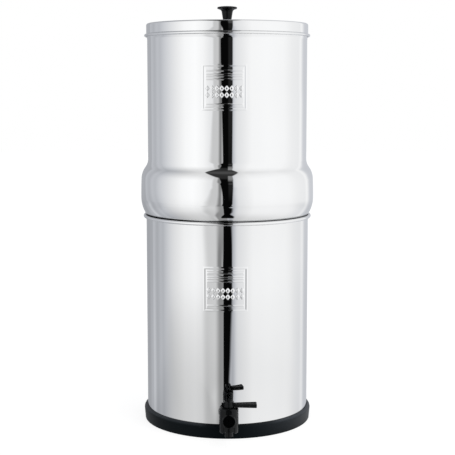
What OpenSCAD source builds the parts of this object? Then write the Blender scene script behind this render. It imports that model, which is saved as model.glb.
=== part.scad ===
// Gravity water filter with a tap: two stacked steel chambers, a lid, two candle filters and a lever tap.
// The origin is on the chambers' axis at table level. The tap points along -Y and +Z is up.

/* [Lower chamber] */
// Outer radius of the lower chamber's wall
lower_r = 120.4; // [112:0.1:130]
// Height of the middle of the lower chamber's rolled rim above the table
lower_rim_z = 307.1; // [270:0.1:330]
// Thickness of the sheet that both chambers and the lid are pressed from
sheet_t = 0.8; // [0.6:0.1:1.2]
// Outer radius of the tube that the lower rim is rolled into
bead_r = 2.5; // [2.2:0.1:3]

/* [Upper chamber] */
// Height from the lower rim's middle to the upper rim's middle
upper_rise = 264.2; // [250:0.1:290]
// Outer radius of the tube that the upper rim is rolled into
upper_roll_r = 2.1; // [1.9:0.1:2.5]
// How much smaller the upper wall's radius is than the lower wall's
upper_step = 3.1; // [2.5:0.1:4]
// How far the bulge stands out past the lower chamber's wall
bulge_out = 7.5; // [6.5:0.1:8.5]
// Height of the bulge's widest place above the lower rim's middle
bulge_rise = 27.3; // [26:0.1:29]
// Radius of the bulge's rounded shoulder
shoulder_r = 30; // [26:0.5:32]
// Radius of the hollow curve from the shoulder into the wall
flare_r = 21; // [18:0.5:24]
// How far the chamber's floor hangs below the lower rim's middle
nest_depth = 21.7; // [20:0.1:30]

/* [Base ring] */
// Height of the rubber ring
ring_h = 20.4; // [18:0.1:23]
// Width of the ring's wall outside the lower chamber
ring_wall = 5; // [4.5:0.1:7]
// Radius of the opening in the middle of the ring
ring_hole_r = 98; // [90:1:100]

/* [Lid] */
// Height of the lid's outside band
lid_h = 15.4; // [13:0.1:18]
// How far the lid's band stands out past the upper wall
lid_out = 1.3; // [1:0.1:2]
// Depth of the skirt that plugs into the upper chamber
lid_plug = 11; // [8:0.5:14]
// Height of the knob
knob_h = 25.8; // [22:0.1:30]
// Radius of the knob's rim
knob_r = 14.6; // [13:0.1:17]

/* [Filters] */
// Outer radius of a candle filter
filter_r = 25.5; // [23:0.5:27]
// Height of a candle filter above its foot
filter_h = 175; // [140:1:185]
// Distance of the filters and the blanking plugs from the chambers' axis
filter_ring = 62; // [58:1:68]

/* [Tap] */
// Distance from the lower chamber's wall to the tap's upright axis
tap_reach = 45; // [43:0.5:50]
// Height of the tap's inlet above the table
tap_z = 39.4; // [38:0.1:46]
// Radius of the tap's barrel
tap_r = 13.4; // [12.5:0.1:14]
// Distance from the tap's upright axis to the tip of its lever
lever_reach = 38.4; // [34:0.1:43]
// Outer radius of the spout
spout_r = 5.9; // [5.5:0.1:6.5]

/* [Hidden] */
$fn = 96;
arc_step = 9;                                   // degrees between the points of a rounded outline
fit_gap = 0.05;                                 // between pieces that are fitted to each other for good
seat_gap = 0.3;                                 // between curved seats that come apart
through = 1;                                    // how far a cutting tool runs past a face
wall_fn = 240;                                  // sides of the large cylinders that the tap's washers fit

// Lower chamber and ring
foot_r = 10;                                    // the chamber's bottom corner, which the ring's lip ends at
floor_z = ring_h - foot_r;                      // underside of the lower chamber's floor
lower_bead_c = lower_r - sheet_t + bead_r;      // radius at which the middle of the rolled rim lies
curl_end = -115;                                // where the rolled edge stops, just clear of the wall
ring_shoulder = 5;                              // rounding of the ring's outer top edge
ring_draft = 1.2;                               // how much narrower the ring is at the table
ring_edge = 1;                                  // rounding of the ring's bottom edges

// Upper chamber
upper_r = lower_r - upper_step;
upper_rim_z = lower_rim_z + upper_rise;
rim_flare = 0.9;                                // how far the upper wall leans out into its rolled rim
rim_flare_h = 7;                                // and over what height it does so
upper_bead_c = upper_r + rim_flare - sheet_t + upper_roll_r;
upper_floor_z = lower_rim_z - nest_depth;
neck_r = lower_r - sheet_t - 4.9;               // the neck that stands inside the lower chamber
neck_corner = 8;                                // rounding of the neck's floor edge
neck_fillet = 5;                                // hollow curve from the neck out into the bulge
bulge_r = lower_r + bulge_out;
bulge_z = lower_rim_z + bulge_rise;
barrel_r = 700;                                 // the bulge's side is a barrel of this radius
barrel_a = 2.3;                                 // and it ends at this slope
// The bulge's underside is the arc that passes seat_gap away from the lower rim
seat_in = bulge_r - lower_bead_c;
seat_reach = bead_r + seat_gap;
under_r = (seat_in^2 + bulge_rise^2 - seat_reach^2) / (2 * (seat_in + seat_reach));
under_c = [bulge_r - under_r, bulge_z];
fillet_x = neck_r + neck_fillet;
fillet_drop = sqrt((under_r + neck_fillet)^2 - (fillet_x - under_c.x)^2);
fillet_c = [fillet_x, bulge_z - fillet_drop];
under_a = atan2(fillet_drop, fillet_x - under_c.x);
barrel_c = [bulge_r - barrel_r, bulge_z];
shoulder_c = barrel_c + (barrel_r - shoulder_r) * [cos(barrel_a), sin(barrel_a)];
flare_x = upper_r + flare_r;
flare_rise = sqrt((shoulder_r + flare_r)^2 - (flare_x - shoulder_c.x)^2);
flare_c = [flare_x, shoulder_c.y + flare_rise];
flare_a = atan2(flare_rise, flare_x - shoulder_c.x);

// Lid and knob
lid_r = upper_r + lid_out;
lid_edge = 2.7;                                 // rounding of the lid's top edge
lid_hem = sheet_t + 0.2;                        // rounding of the band's bottom edge
// The band's hem stands on the inner slope of the rolled rim, seat_gap away from it
hem_in = upper_bead_c - lid_r + lid_hem;
hem_rise = sqrt((upper_roll_r + lid_hem + seat_gap)^2 - hem_in^2);
lid_bottom_z = upper_rim_z + hem_rise - lid_hem;
lid_top_z = lid_bottom_z + lid_h;
lid_plug_r = upper_r - sheet_t - 0.8;           // the skirt's outer radius, loose in the chamber
screw_r = 2;
screw_clear_r = 2.2;
screw_head_r = 3.9;
screw_head_h = 2.4;
screw_slot = [5, 1];                            // length and width of the cross recess
knob_washer_r = 5.5;
knob_washer_t = 0.8;
knob_foot_r = 5.4;
knob_thread_h = 12;                             // depth of the knob's threaded hole

// Filters and plugs
hole_r = 6.5;                                   // holes in the upper chamber's floor
stem_r = 6;
stem_bore_r = 3;
stem_drop = 26;                                 // how far a stem reaches below the floor
plug_drop = 18;
washer_t = 3;
filter_washer_r = 11;
foot_h = 8;
cup_h = 4;                                      // how deep the candle stands in its foot
shell_wall = 8;
core_gap = 0.2;
plug_head_h = 4;
wing_boss_r = 9.5;
wing_boss_h = 8;
wing_span = 19;
wing_t = 3;
wing_tip_r = 4.5;

// Tap, in a frame on its upright axis at the inlet's height
tap_y = lower_r + tap_reach;
barrel_low = -16.5;
barrel_high = 18.4;
barrel_edge = 2;
face_y = tap_r - 0.75;                          // the barrel's front is flattened down to this
fork_z = -7;                                    // below this a shallow step parts the fins from the nose
fin_x = 7.6;                                    // inner face of the fins
spout_low = -22.4;
spout_bore_r = 3.5;
nose_r = tap_r - 1.2;                           // the nose fills the space between the fins
nose_waist = -14;                               // from here down it narrows to the spout
nose_low = -16.4;
boss_r = 9.3;                                   // ring round the front plug
boss_z = 1.8;
boss_y = tap_r + 0.2;
recess_r = 7.7;
recess_depth = 2.8;
key_side = 7;                                   // side of the square key at the bottom of the front plug
key_drop = 4.2;
front_plug_t = 2.1;
inlet_r = 9;
inlet_bore_r = 5;
flange_r = 13.5;
flange_t = 5;
outer_washer_t = 3;
inner_washer_t = 3;
washer_r = 14;
thread_r = 8;
wall_hole_r = 8.2;
thread_end = tap_reach + 27;                    // how far along +Y the threaded stem reaches
nut_t = 8;
nut_flats = 24;
valve_r = 7.5;
valve_gap = 0.05;                               // running clearance of the plug in the barrel
valve_low = -10.5;
valve_high = 10.4;
valve_hollow_r = 4.2;
port_r = 4;
groove_z = 7.6;
groove_r = 5.5;
groove_h = 2.4;
oring_r = 1;
oring_reach = valve_r + 0.03;                   // outer radius of an O-ring in its groove
collar_r = 9;
collar_gap = 0.2;
bonnet_r = 10.2;
bonnet_top = 18.9;
spindle_r = 5.4;
spindle_bore_r = 5.5;
drive_r = 4;
drive_flat = 6.4;                               // across the two flats that turn the lever
drive_top = 25.6;
hub_r = 7;
hub_low = 19.2;
hub_high = 27.8;
hub_edge = 1.2;
lever_z = 22.3;
lever_root_r = 3.1;
lever_root_end = 10;
paddle_z = 21.9;                                // the paddle sits a little low on its root
paddle_root = [5, 10];                          // thickness and width where the paddle starts
paddle_tip = [5.4, 14.8];
paddle_corner = 2;
tail_r = 3;
tail_end = 10.2;

// Points of an arc about c, from angle a0 to angle a1
function arc(c, r, a0, a1) =
    let (n = max(2, ceil(abs(a1 - a0) / arc_step)))
    [for (i = [0:n]) c + r * [cos(a0 + (a1 - a0) * i / n), sin(a0 + (a1 - a0) * i / n)]];

// A rim rolled outwards: the way up and round inside the sheet, and the way back outside it
function curl_in(c, r) = arc(c, r - sheet_t, 180, curl_end);
function curl_out(c, r) = arc(c, r, curl_end, 180);

// The upper chamber's outline from the floor to the wall, t inside its outer face
function upper_outline(t) = concat(
    [[0, upper_floor_z + t]],
    arc([neck_r - neck_corner, upper_floor_z + neck_corner], neck_corner - t, -90, 0),
    arc(fillet_c, neck_fillet + t, 180, 180 - under_a),
    arc(under_c, under_r - t, -under_a, 0),
    arc(barrel_c, barrel_r - t, 0, barrel_a),
    arc(shoulder_c, shoulder_r - t, barrel_a, flare_a),
    arc(flare_c, flare_r + t, 180 + flare_a, 180),
    [[upper_r - t, upper_rim_z - rim_flare_h]]
);

// The lower chamber's outline from the floor to the wall, t inside its outer face
function lower_outline(t) = concat(
    [[0, floor_z + t]],
    arc([lower_r - foot_r, floor_z + foot_r], foot_r - t, -90, 0)
);

function backwards(points) = [for (i = [len(points) - 1:-1:0]) points[i]];

module base_ring() {
    inside = lower_r + fit_gap;
    outside = lower_r + ring_wall;
    color("#16191c") rotate_extrude() polygon(concat(
        arc([ring_hole_r + ring_edge, ring_edge], ring_edge, 180, 270),
        arc([outside - ring_draft - ring_edge, ring_edge], ring_edge, -90, 0),
        arc([outside - ring_shoulder, ring_h - ring_shoulder], ring_shoulder, 0, 90),
        arc([lower_r - foot_r, ring_h], inside - lower_r + foot_r, 0, -90),
        [[lower_r - foot_r - fit_gap, floor_z], [ring_hole_r, floor_z]]
    ));
}

module lower_chamber() {
    bead = [lower_bead_c, lower_rim_z];
    color("#d9dcde") difference() {
        rotate_extrude() polygon(concat(
            lower_outline(0), curl_in(bead, bead_r), curl_out(bead, bead_r), backwards(lower_outline(sheet_t))
        ));
        translate([0, -lower_r + foot_r, tap_z]) rotate([90, 0, 0]) cylinder(r = wall_hole_r, h = 2 * foot_r);
    }
}

// Puts a child at each of two opposite places on the filters' ring: 0 for the filters, 90 for the plugs
module opposite_pair(turn) {
    for (a = [turn, turn + 180]) rotate(a) translate([filter_ring, 0, upper_floor_z]) children();
}

module upper_chamber() {
    bead = [upper_bead_c, upper_rim_z];
    color("#d9dcde") difference() {
        rotate_extrude() polygon(concat(
            upper_outline(0), curl_in(bead, upper_roll_r), curl_out(bead, upper_roll_r),
            backwards(upper_outline(sheet_t))
        ));
        for (turn = [0, 90]) opposite_pair(turn)
            translate([0, 0, -through]) cylinder(r = hole_r, h = sheet_t + 2 * through);
    }
}

module lid() {
    edge = [lid_r - lid_edge, lid_top_z - lid_edge];
    hem = [lid_r - lid_hem, lid_bottom_z + lid_hem];
    color("#d9dcde") rotate_extrude() polygon(concat(
        [[screw_clear_r, lid_top_z]],
        arc(edge, lid_edge, 90, 0),
        arc(hem, lid_hem, 0, -90),
        [
            [lid_plug_r, lid_bottom_z],
            [lid_plug_r, lid_bottom_z - lid_plug],
            [lid_plug_r - sheet_t, lid_bottom_z - lid_plug],
            [lid_plug_r - sheet_t, lid_bottom_z + sheet_t]
        ],
        arc(hem, lid_hem - sheet_t, -90, 0),
        arc(edge, lid_edge - sheet_t, 0, 90),
        [[screw_clear_r, lid_top_z - sheet_t]]
    ));
}

module lid_knob() {
    throat_r = knob_r * 0.55;                   // the neck just under the rim
    throat_z = knob_h * 0.64;
    flare = knob_r * 0.3;
    rim_half = 1.6;
    dome = 1.2;
    rim_z = knob_h - dome - rim_half;
    rim_x = knob_r - rim_half;
    dome_r = (rim_x^2 + dome^2) / (2 * dome);
    dome_a = asin(rim_x / dome_r);
    color("#1c1e20") translate([0, 0, lid_top_z]) rotate_extrude() polygon(concat(
        [[screw_r + fit_gap, 0], [knob_foot_r, 0]],
        arc([throat_r + flare, throat_z], flare, 180, 110),
        arc([rim_x, rim_z], rim_half, -90, 90),
        arc([0, knob_h - dome_r], dome_r, 90 - dome_a, 90),
        [[0, knob_thread_h], [screw_r + fit_gap, knob_thread_h]]
    ));
}

module knob_washer() {
    color("#b9bcbe") translate([0, 0, lid_top_z - sheet_t - knob_washer_t]) difference() {
        cylinder(r = knob_washer_r, h = knob_washer_t);
        translate([0, 0, -through]) cylinder(r = screw_clear_r, h = knob_washer_t + 2 * through);
    }
}

module knob_screw() {
    head_z = lid_top_z - sheet_t - knob_washer_t - screw_head_h;
    slot_depth = 1.2;
    color("#b9bcbe") translate([0, 0, head_z]) difference() {
        union() {
            cylinder(r = screw_head_r, h = screw_head_h);
            cylinder(r = screw_r, h = lid_top_z - head_z + knob_thread_h - through);
        }
        for (a = [0, 90]) rotate(a)
            translate([-screw_slot.x / 2, -screw_slot.y / 2, -through])
                cube([screw_slot.x, screw_slot.y, slot_depth + through]);
    }
}

// The filters' parts are drawn on their own axis, with the floor's underside at zero
washer_z = sheet_t;
foot_z = washer_z + washer_t;
candle_z = foot_z + foot_h - cup_h;

module filter_shell() {
    straight = filter_h - filter_r;
    hollow = filter_r - shell_wall;
    color("#ece9e0") translate([0, 0, candle_z]) rotate_extrude() polygon(concat(
        [[hollow, 0], [filter_r, 0]],
        arc([0, straight], filter_r, 0, 90),
        arc([0, straight], hollow, 90, 0)
    ));
}

module filter_core() {
    straight = filter_h - filter_r;
    core_r = filter_r - shell_wall - core_gap;
    color("#2a2a2a") translate([0, 0, candle_z]) rotate_extrude() polygon(concat(
        [[0, core_gap], [core_r, core_gap]],
        arc([0, straight], core_r, 0, 90)
    ));
}

module filter_foot() {
    foot_out = filter_r + 1.3;
    color("#e8e8e6") difference() {
        union() {
            translate([0, 0, foot_z]) cylinder(r = foot_out, h = foot_h);
            translate([0, 0, -stem_drop]) cylinder(r = stem_r, h = stem_drop + foot_z + through);
        }
        translate([0, 0, candle_z]) cylinder(r = filter_r + fit_gap, h = cup_h + through);
        translate([0, 0, -stem_drop - through]) cylinder(r = stem_bore_r, h = stem_drop + candle_z + 2 * through);
    }
}

module washer_ring() {
    translate([0, 0, washer_z]) difference() {
        cylinder(r = filter_washer_r, h = washer_t);
        translate([0, 0, -through]) cylinder(r = stem_r + fit_gap, h = washer_t + 2 * through);
    }
}

module wing_nut() {
    wing_h = wing_boss_h + 2;
    color("#e8e8e6") translate([0, 0, -wing_boss_h]) difference() {
        union() {
            cylinder(r = wing_boss_r, h = wing_boss_h);
            for (side = [-1, 1]) {
                translate([side * (wing_span - wing_tip_r), wing_t / 2, wing_tip_r - 2]) rotate([90, 0, 0])
                    cylinder(r = wing_tip_r, h = wing_t);
                translate([side * wing_span / 2 - (wing_span - 2 * wing_tip_r) / 2, -wing_t / 2, -2])
                    cube([wing_span - 2 * wing_tip_r, wing_t, wing_h - 2]);
            }
        }
        translate([0, 0, -wing_h]) cylinder(r = stem_r + fit_gap, h = 3 * wing_h);
    }
}

module blanking_plug() {
    color("#e8e8e6") {
        translate([0, 0, foot_z]) cylinder(r = filter_washer_r, h = plug_head_h);
        translate([0, 0, -plug_drop]) cylinder(r = stem_r, h = plug_drop + foot_z + through);
    }
}

// The tap's parts are drawn on its upright axis, with the inlet's height at zero
module at_tap() {
    translate([0, -tap_y, tap_z]) children();
}

// A cylinder that runs along Y from y0 to y1
module along_y(r, y0, y1) {
    translate([0, y1, 0]) rotate([90, 0, 0]) cylinder(r = r, h = y1 - y0);
}

// A cylinder that runs along X from x0 to x1
module along_x(r, x0, x1) {
    translate([x0, 0, 0]) rotate([0, 90, 0]) cylinder(r = r, h = x1 - x0);
}

// The front plug's outline: a disc with a pointed key below it
module keyed_disc(r) {
    circle(r = r);
    translate([0, -key_drop]) rotate(45) square(key_side, center = true);
}

module keyed_prism(r, depth) {
    translate([0, 0, boss_z]) rotate([90, 0, 0]) linear_extrude(depth) keyed_disc(r);
}

module tap_barrel() {
    rotate_extrude() polygon(concat(
        [[0, barrel_low]],
        arc([tap_r - barrel_edge, barrel_low + barrel_edge], barrel_edge, -90, 0),
        arc([tap_r - barrel_edge, barrel_high - barrel_edge], barrel_edge, 0, 90),
        [[0, barrel_high]]
    ));
}

module tap_body() {
    fork_h = fork_z - barrel_low;
    flange_y = tap_reach - outer_washer_t - flange_t;
    color("#24272a") at_tap() difference() {
        union() {
            difference() {
                tap_barrel();
                translate([-fin_x, -2 * tap_r, barrel_low - through]) cube([2 * fin_x, 4 * tap_r, fork_h + through]);
                translate([-tap_r, -2 * tap_r, barrel_low - through])
                    cube([2 * tap_r, 2 * tap_r - face_y, barrel_high - barrel_low + 2 * through]);
            }
            translate([0, 0, nose_low]) cylinder(r1 = spout_r, r2 = nose_r, h = nose_waist - nose_low);
            translate([0, 0, nose_waist]) cylinder(r = nose_r, h = fork_z - nose_waist + through);
            translate([0, 0, spout_low]) cylinder(r = spout_r, h = fork_z - spout_low);
            translate([0, 0, boss_z]) along_y(boss_r, -boss_y, 0);
            along_y(inlet_r, 0, flange_y + through);
            along_y(flange_r, flange_y, flange_y + flange_t);
            along_y(thread_r, flange_y, thread_end);
        }
        translate([0, 0, valve_low]) cylinder(r = valve_r + valve_gap, h = barrel_high - valve_low + through);
        translate([0, 0, valve_high + collar_gap]) cylinder(r = collar_r + fit_gap, h = tap_r);
        translate([0, 0, spout_low - through]) cylinder(r = spout_bore_r, h = valve_low - spout_low + 2 * through);
        along_y(inlet_bore_r, 0, thread_end + through);
        translate([0, recess_depth - boss_y, 0]) keyed_prism(recess_r, recess_depth + through);
    }
}

module tap_front_plug() {
    color("#0b0d0f") at_tap() translate([0, recess_depth - boss_y, 0]) keyed_prism(recess_r - fit_gap, front_plug_t);
}

module tap_bonnet() {
    skirt_z = valve_high + collar_gap;
    color("#24272a") at_tap() difference() {
        union() {
            translate([0, 0, skirt_z]) cylinder(r = collar_r, h = barrel_high - skirt_z);
            translate([0, 0, barrel_high]) cylinder(r = bonnet_r, h = bonnet_top - barrel_high);
        }
        translate([0, 0, -through]) cylinder(r = spindle_bore_r, h = bonnet_top + 2 * through);
    }
}

// A round bar with two flats, which the lever can't slip on
module drive_bar(r, flats, h) {
    intersection() {
        cylinder(r = r, h = h);
        translate([-r, -flats / 2, 0]) cube([2 * r, flats, h]);
    }
}

module tap_plug() {
    bottom = valve_low + collar_gap;
    color("#5b5f63") at_tap() difference() {
        union() {
            translate([0, 0, bottom]) cylinder(r = valve_r, h = valve_high - bottom);
            cylinder(r = spindle_r, h = hub_low);
            translate([0, 0, valve_high]) drive_bar(drive_r, drive_flat, drive_top - valve_high);
        }
        translate([0, 0, bottom - through]) cylinder(r = valve_hollow_r, h = port_r - bottom + through);
        along_x(port_r, -valve_r - through, 0);
        for (side = [-1, 1]) translate([0, 0, side * groove_z - groove_h / 2]) difference() {
            cylinder(r = valve_r + through, h = groove_h);
            translate([0, 0, -through]) cylinder(r = groove_r, h = groove_h + 2 * through);
        }
    }
}

module tap_orings() {
    color("#101214") at_tap() for (side = [-1, 1])
        translate([0, 0, side * groove_z]) rotate_extrude() translate([oring_reach - oring_r, 0]) circle(r = oring_r);
}

// The paddle's outline from above, between its root and its tip
module paddle_plan() {
    tip_x = lever_reach - paddle_corner;
    polygon([
        [lever_root_end - through, -paddle_root[1] / 2], [lever_reach - paddle_corner, -paddle_tip[1] / 2],
        [lever_reach - paddle_corner, paddle_tip[1] / 2], [lever_root_end - through, paddle_root[1] / 2]
    ]);
    for (side = [-1, 1]) translate([tip_x, side * (paddle_tip[1] / 2 - paddle_corner)]) circle(r = paddle_corner);
    translate([tip_x, paddle_corner - paddle_tip[1] / 2])
        square([paddle_corner, paddle_tip[1] - 2 * paddle_corner]);
}

// The paddle's outline from the front, which thickens a little towards its tip
module paddle_side() {
    polygon([
        [lever_root_end - through, -paddle_root[0] / 2], [lever_reach + through, -paddle_tip[0] / 2],
        [lever_reach + through, paddle_tip[0] / 2], [lever_root_end - through, paddle_root[0] / 2]
    ]);
}

module tap_lever() {
    color("#24272a") at_tap() {
        difference() {
            union() {
                translate([0, 0, hub_low]) rotate_extrude() polygon(concat(
                    [[0, 0], [hub_r, 0]],
                    arc([hub_r - hub_edge, hub_high - hub_low - hub_edge], hub_edge, 0, 90),
                    [[0, hub_high - hub_low]]
                ));
                translate([0, 0, lever_z]) along_x(lever_root_r, 0, lever_root_end);
                translate([0, 0, lever_z]) along_x(tail_r, -tail_end, 0);
            }
            translate([0, 0, hub_low - through])
                drive_bar(drive_r + fit_gap, drive_flat + 2 * fit_gap, drive_top - hub_low + through + fit_gap);
        }
        translate([0, 0, paddle_z]) intersection() {
            translate([0, 0, -paddle_tip[0]]) linear_extrude(2 * paddle_tip[0]) paddle_plan();
            translate([0, paddle_tip[1], 0]) rotate([90, 0, 0]) linear_extrude(2 * paddle_tip[1]) paddle_side();
        }
    }
}

// A washer round the threaded stem, on the outside or the inside of the lower chamber's wall
module tap_outer_washer() {
    color("#101214") difference() {
        at_tap() along_y(washer_r, tap_reach - outer_washer_t, tap_reach + outer_washer_t);
        at_tap() along_y(thread_r + fit_gap, 0, thread_end);
        cylinder(r = lower_r + fit_gap, h = tap_z + 2 * washer_r, $fn = wall_fn);
    }
}

module tap_inner_washer() {
    face_y = tap_reach + sheet_t + inner_washer_t;
    color("#101214") difference() {
        intersection() {
            at_tap() along_y(washer_r, tap_reach, face_y);
            cylinder(r = lower_r - sheet_t - fit_gap, h = tap_z + 2 * washer_r, $fn = wall_fn);
        }
        at_tap() along_y(thread_r + fit_gap, 0, thread_end);
    }
}

module tap_nut() {
    face_y = tap_reach + sheet_t + inner_washer_t;
    color("#24272a") at_tap() difference() {
        translate([0, face_y + nut_t, 0]) rotate([90, 0, 0]) cylinder(r = nut_flats / sqrt(3), h = nut_t, $fn = 6);
        along_y(thread_r + fit_gap, 0, thread_end);
    }
}

base_ring();
lower_chamber();
upper_chamber();
lid();
lid_knob();
knob_screw();
knob_washer();
translate([-filter_ring, 0, upper_floor_z]) filter_shell();  // left_filter_shell
translate([-filter_ring, 0, upper_floor_z]) filter_core();  // left_filter_core
translate([-filter_ring, 0, upper_floor_z]) filter_foot();  // left_filter_foot
translate([filter_ring, 0, upper_floor_z]) filter_shell();  // right_filter_shell
translate([filter_ring, 0, upper_floor_z]) filter_core();  // right_filter_core
translate([filter_ring, 0, upper_floor_z]) filter_foot();  // right_filter_foot
color("#202224") opposite_pair(0) washer_ring();  // filter_washers
opposite_pair(0) wing_nut();  // filter_wing_nuts
opposite_pair(90) blanking_plug();  // blanking_plugs
color("#202224") opposite_pair(90) washer_ring();  // plug_washers
opposite_pair(90) wing_nut();  // plug_wing_nuts
tap_body();
tap_front_plug();
tap_bonnet();
tap_plug();
tap_orings();
tap_lever();
tap_outer_washer();
tap_inner_washer();
tap_nut();
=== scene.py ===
"""A gravity water filter on a pale floor: two steel chambers, a lid, a base ring, a tap and candle filters.

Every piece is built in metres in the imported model's own frame: the chambers' axis is Z and the tap is at -Y.
"""

import logging
import math
from collections.abc import Callable, Sequence
from dataclasses import dataclass, field
from enum import Enum

import bmesh
import bpy
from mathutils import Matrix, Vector


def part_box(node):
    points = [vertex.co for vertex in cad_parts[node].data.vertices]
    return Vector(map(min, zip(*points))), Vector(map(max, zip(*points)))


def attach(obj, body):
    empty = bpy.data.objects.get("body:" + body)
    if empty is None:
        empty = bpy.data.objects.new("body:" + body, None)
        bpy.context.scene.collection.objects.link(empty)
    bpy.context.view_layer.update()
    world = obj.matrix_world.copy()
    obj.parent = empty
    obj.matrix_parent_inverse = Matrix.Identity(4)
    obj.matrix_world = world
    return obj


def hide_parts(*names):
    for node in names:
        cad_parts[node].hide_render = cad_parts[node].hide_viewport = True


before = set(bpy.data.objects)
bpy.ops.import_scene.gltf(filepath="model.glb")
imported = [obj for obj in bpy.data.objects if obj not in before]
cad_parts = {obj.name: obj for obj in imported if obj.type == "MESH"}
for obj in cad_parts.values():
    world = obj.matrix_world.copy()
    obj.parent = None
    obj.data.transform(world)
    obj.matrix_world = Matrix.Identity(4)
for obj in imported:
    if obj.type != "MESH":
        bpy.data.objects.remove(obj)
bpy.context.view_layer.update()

log = logging.getLogger("water_filter")

Point = tuple[float, float]
Profile = tuple[Point, ...]
Triple = tuple[float, float, float]
Colour = Triple

MM = 0.001
FIT = 0.05 * MM  # the gap between pieces that fit each other
ROUND = 96  # the sides of a round piece
SMALL_ROUND = 48  # the sides of a small bar or hole
FACING = 0.9  # the least part along an axis of the normal of a face that looks that way
FORWARD = -1.0  # the way that the object's front looks along Y
DEGREE = math.degrees(1.0)
WHITE: Colour = (1.0, 1.0, 1.0)
UNSTRETCHED: Triple = (1.0, 1.0, 1.0)


class Body(Enum):
    """The bodies that pieces ride on."""

    BASE = "base"
    VALVE = "tap_valve"
    UPPER = "upper"
    LID = "lid"


class Slot(Enum):
    """The record's material slots."""

    STEEL = "polished_steel"
    SCREW = "screw_steel"
    BLACK = "black_plastic"
    GREY = "grey_plastic"
    WHITE = "white_plastic"
    CERAMIC = "ceramic"
    CARBON = "carbon"
    RUBBER = "rubber"


class Axis(Enum):
    """The way a bar lies, as the turn that brings an upright bar into it."""

    X = (0.0, math.pi / 2, 0.0)
    Y = (math.pi / 2, 0.0, 0.0)
    Z = (0.0, 0.0, 0.0)


# ---------------------------------------------------------------------------------------------- shader wiring


class Wire:
    """A node's output, on which arithmetic adds Math nodes."""

    def __init__(self, desk: "Desk", socket: bpy.types.NodeSocket) -> None:
        """Holds the socket and the desk that it is on."""
        self.desk = desk
        self.socket = socket

    def __add__(self, other: "Wire | float") -> "Wire":
        """The sum."""
        return self.desk.math("ADD", self, other)

    def __sub__(self, other: "Wire | float") -> "Wire":
        """This less the other."""
        return self.desk.math("SUBTRACT", self, other)

    def __rsub__(self, other: float) -> "Wire":
        """The other less this."""
        return self.desk.math("SUBTRACT", other, self)

    def __mul__(self, other: "Wire | float") -> "Wire":
        """The product."""
        return self.desk.math("MULTIPLY", self, other)

    def __truediv__(self, other: "Wire | float") -> "Wire":
        """The quotient."""
        return self.desk.math("DIVIDE", self, other)

    __radd__ = __add__
    __rmul__ = __mul__

    def rise(self, low: "Wire | float", high: "Wire | float") -> "Wire":
        """A smooth step from 0 at low to 1 at high."""
        sockets = {"Value": self, "From Min": low, "From Max": high}
        return self.desk.wire("ShaderNodeMapRange", {"interpolation_type": "SMOOTHSTEP"}, sockets)

    def fall(self, low: "Wire | float", high: "Wire | float") -> "Wire":
        """A smooth step from 1 at low to 0 at high."""
        return 1.0 - self.rise(low, high)

    def cross(self, middle: "Wire", half: "Wire | float") -> "Wire":
        """A smooth step from 0 to 1 that reaches half to both sides of a middle."""
        return self.rise(middle - half, middle + half)


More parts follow.
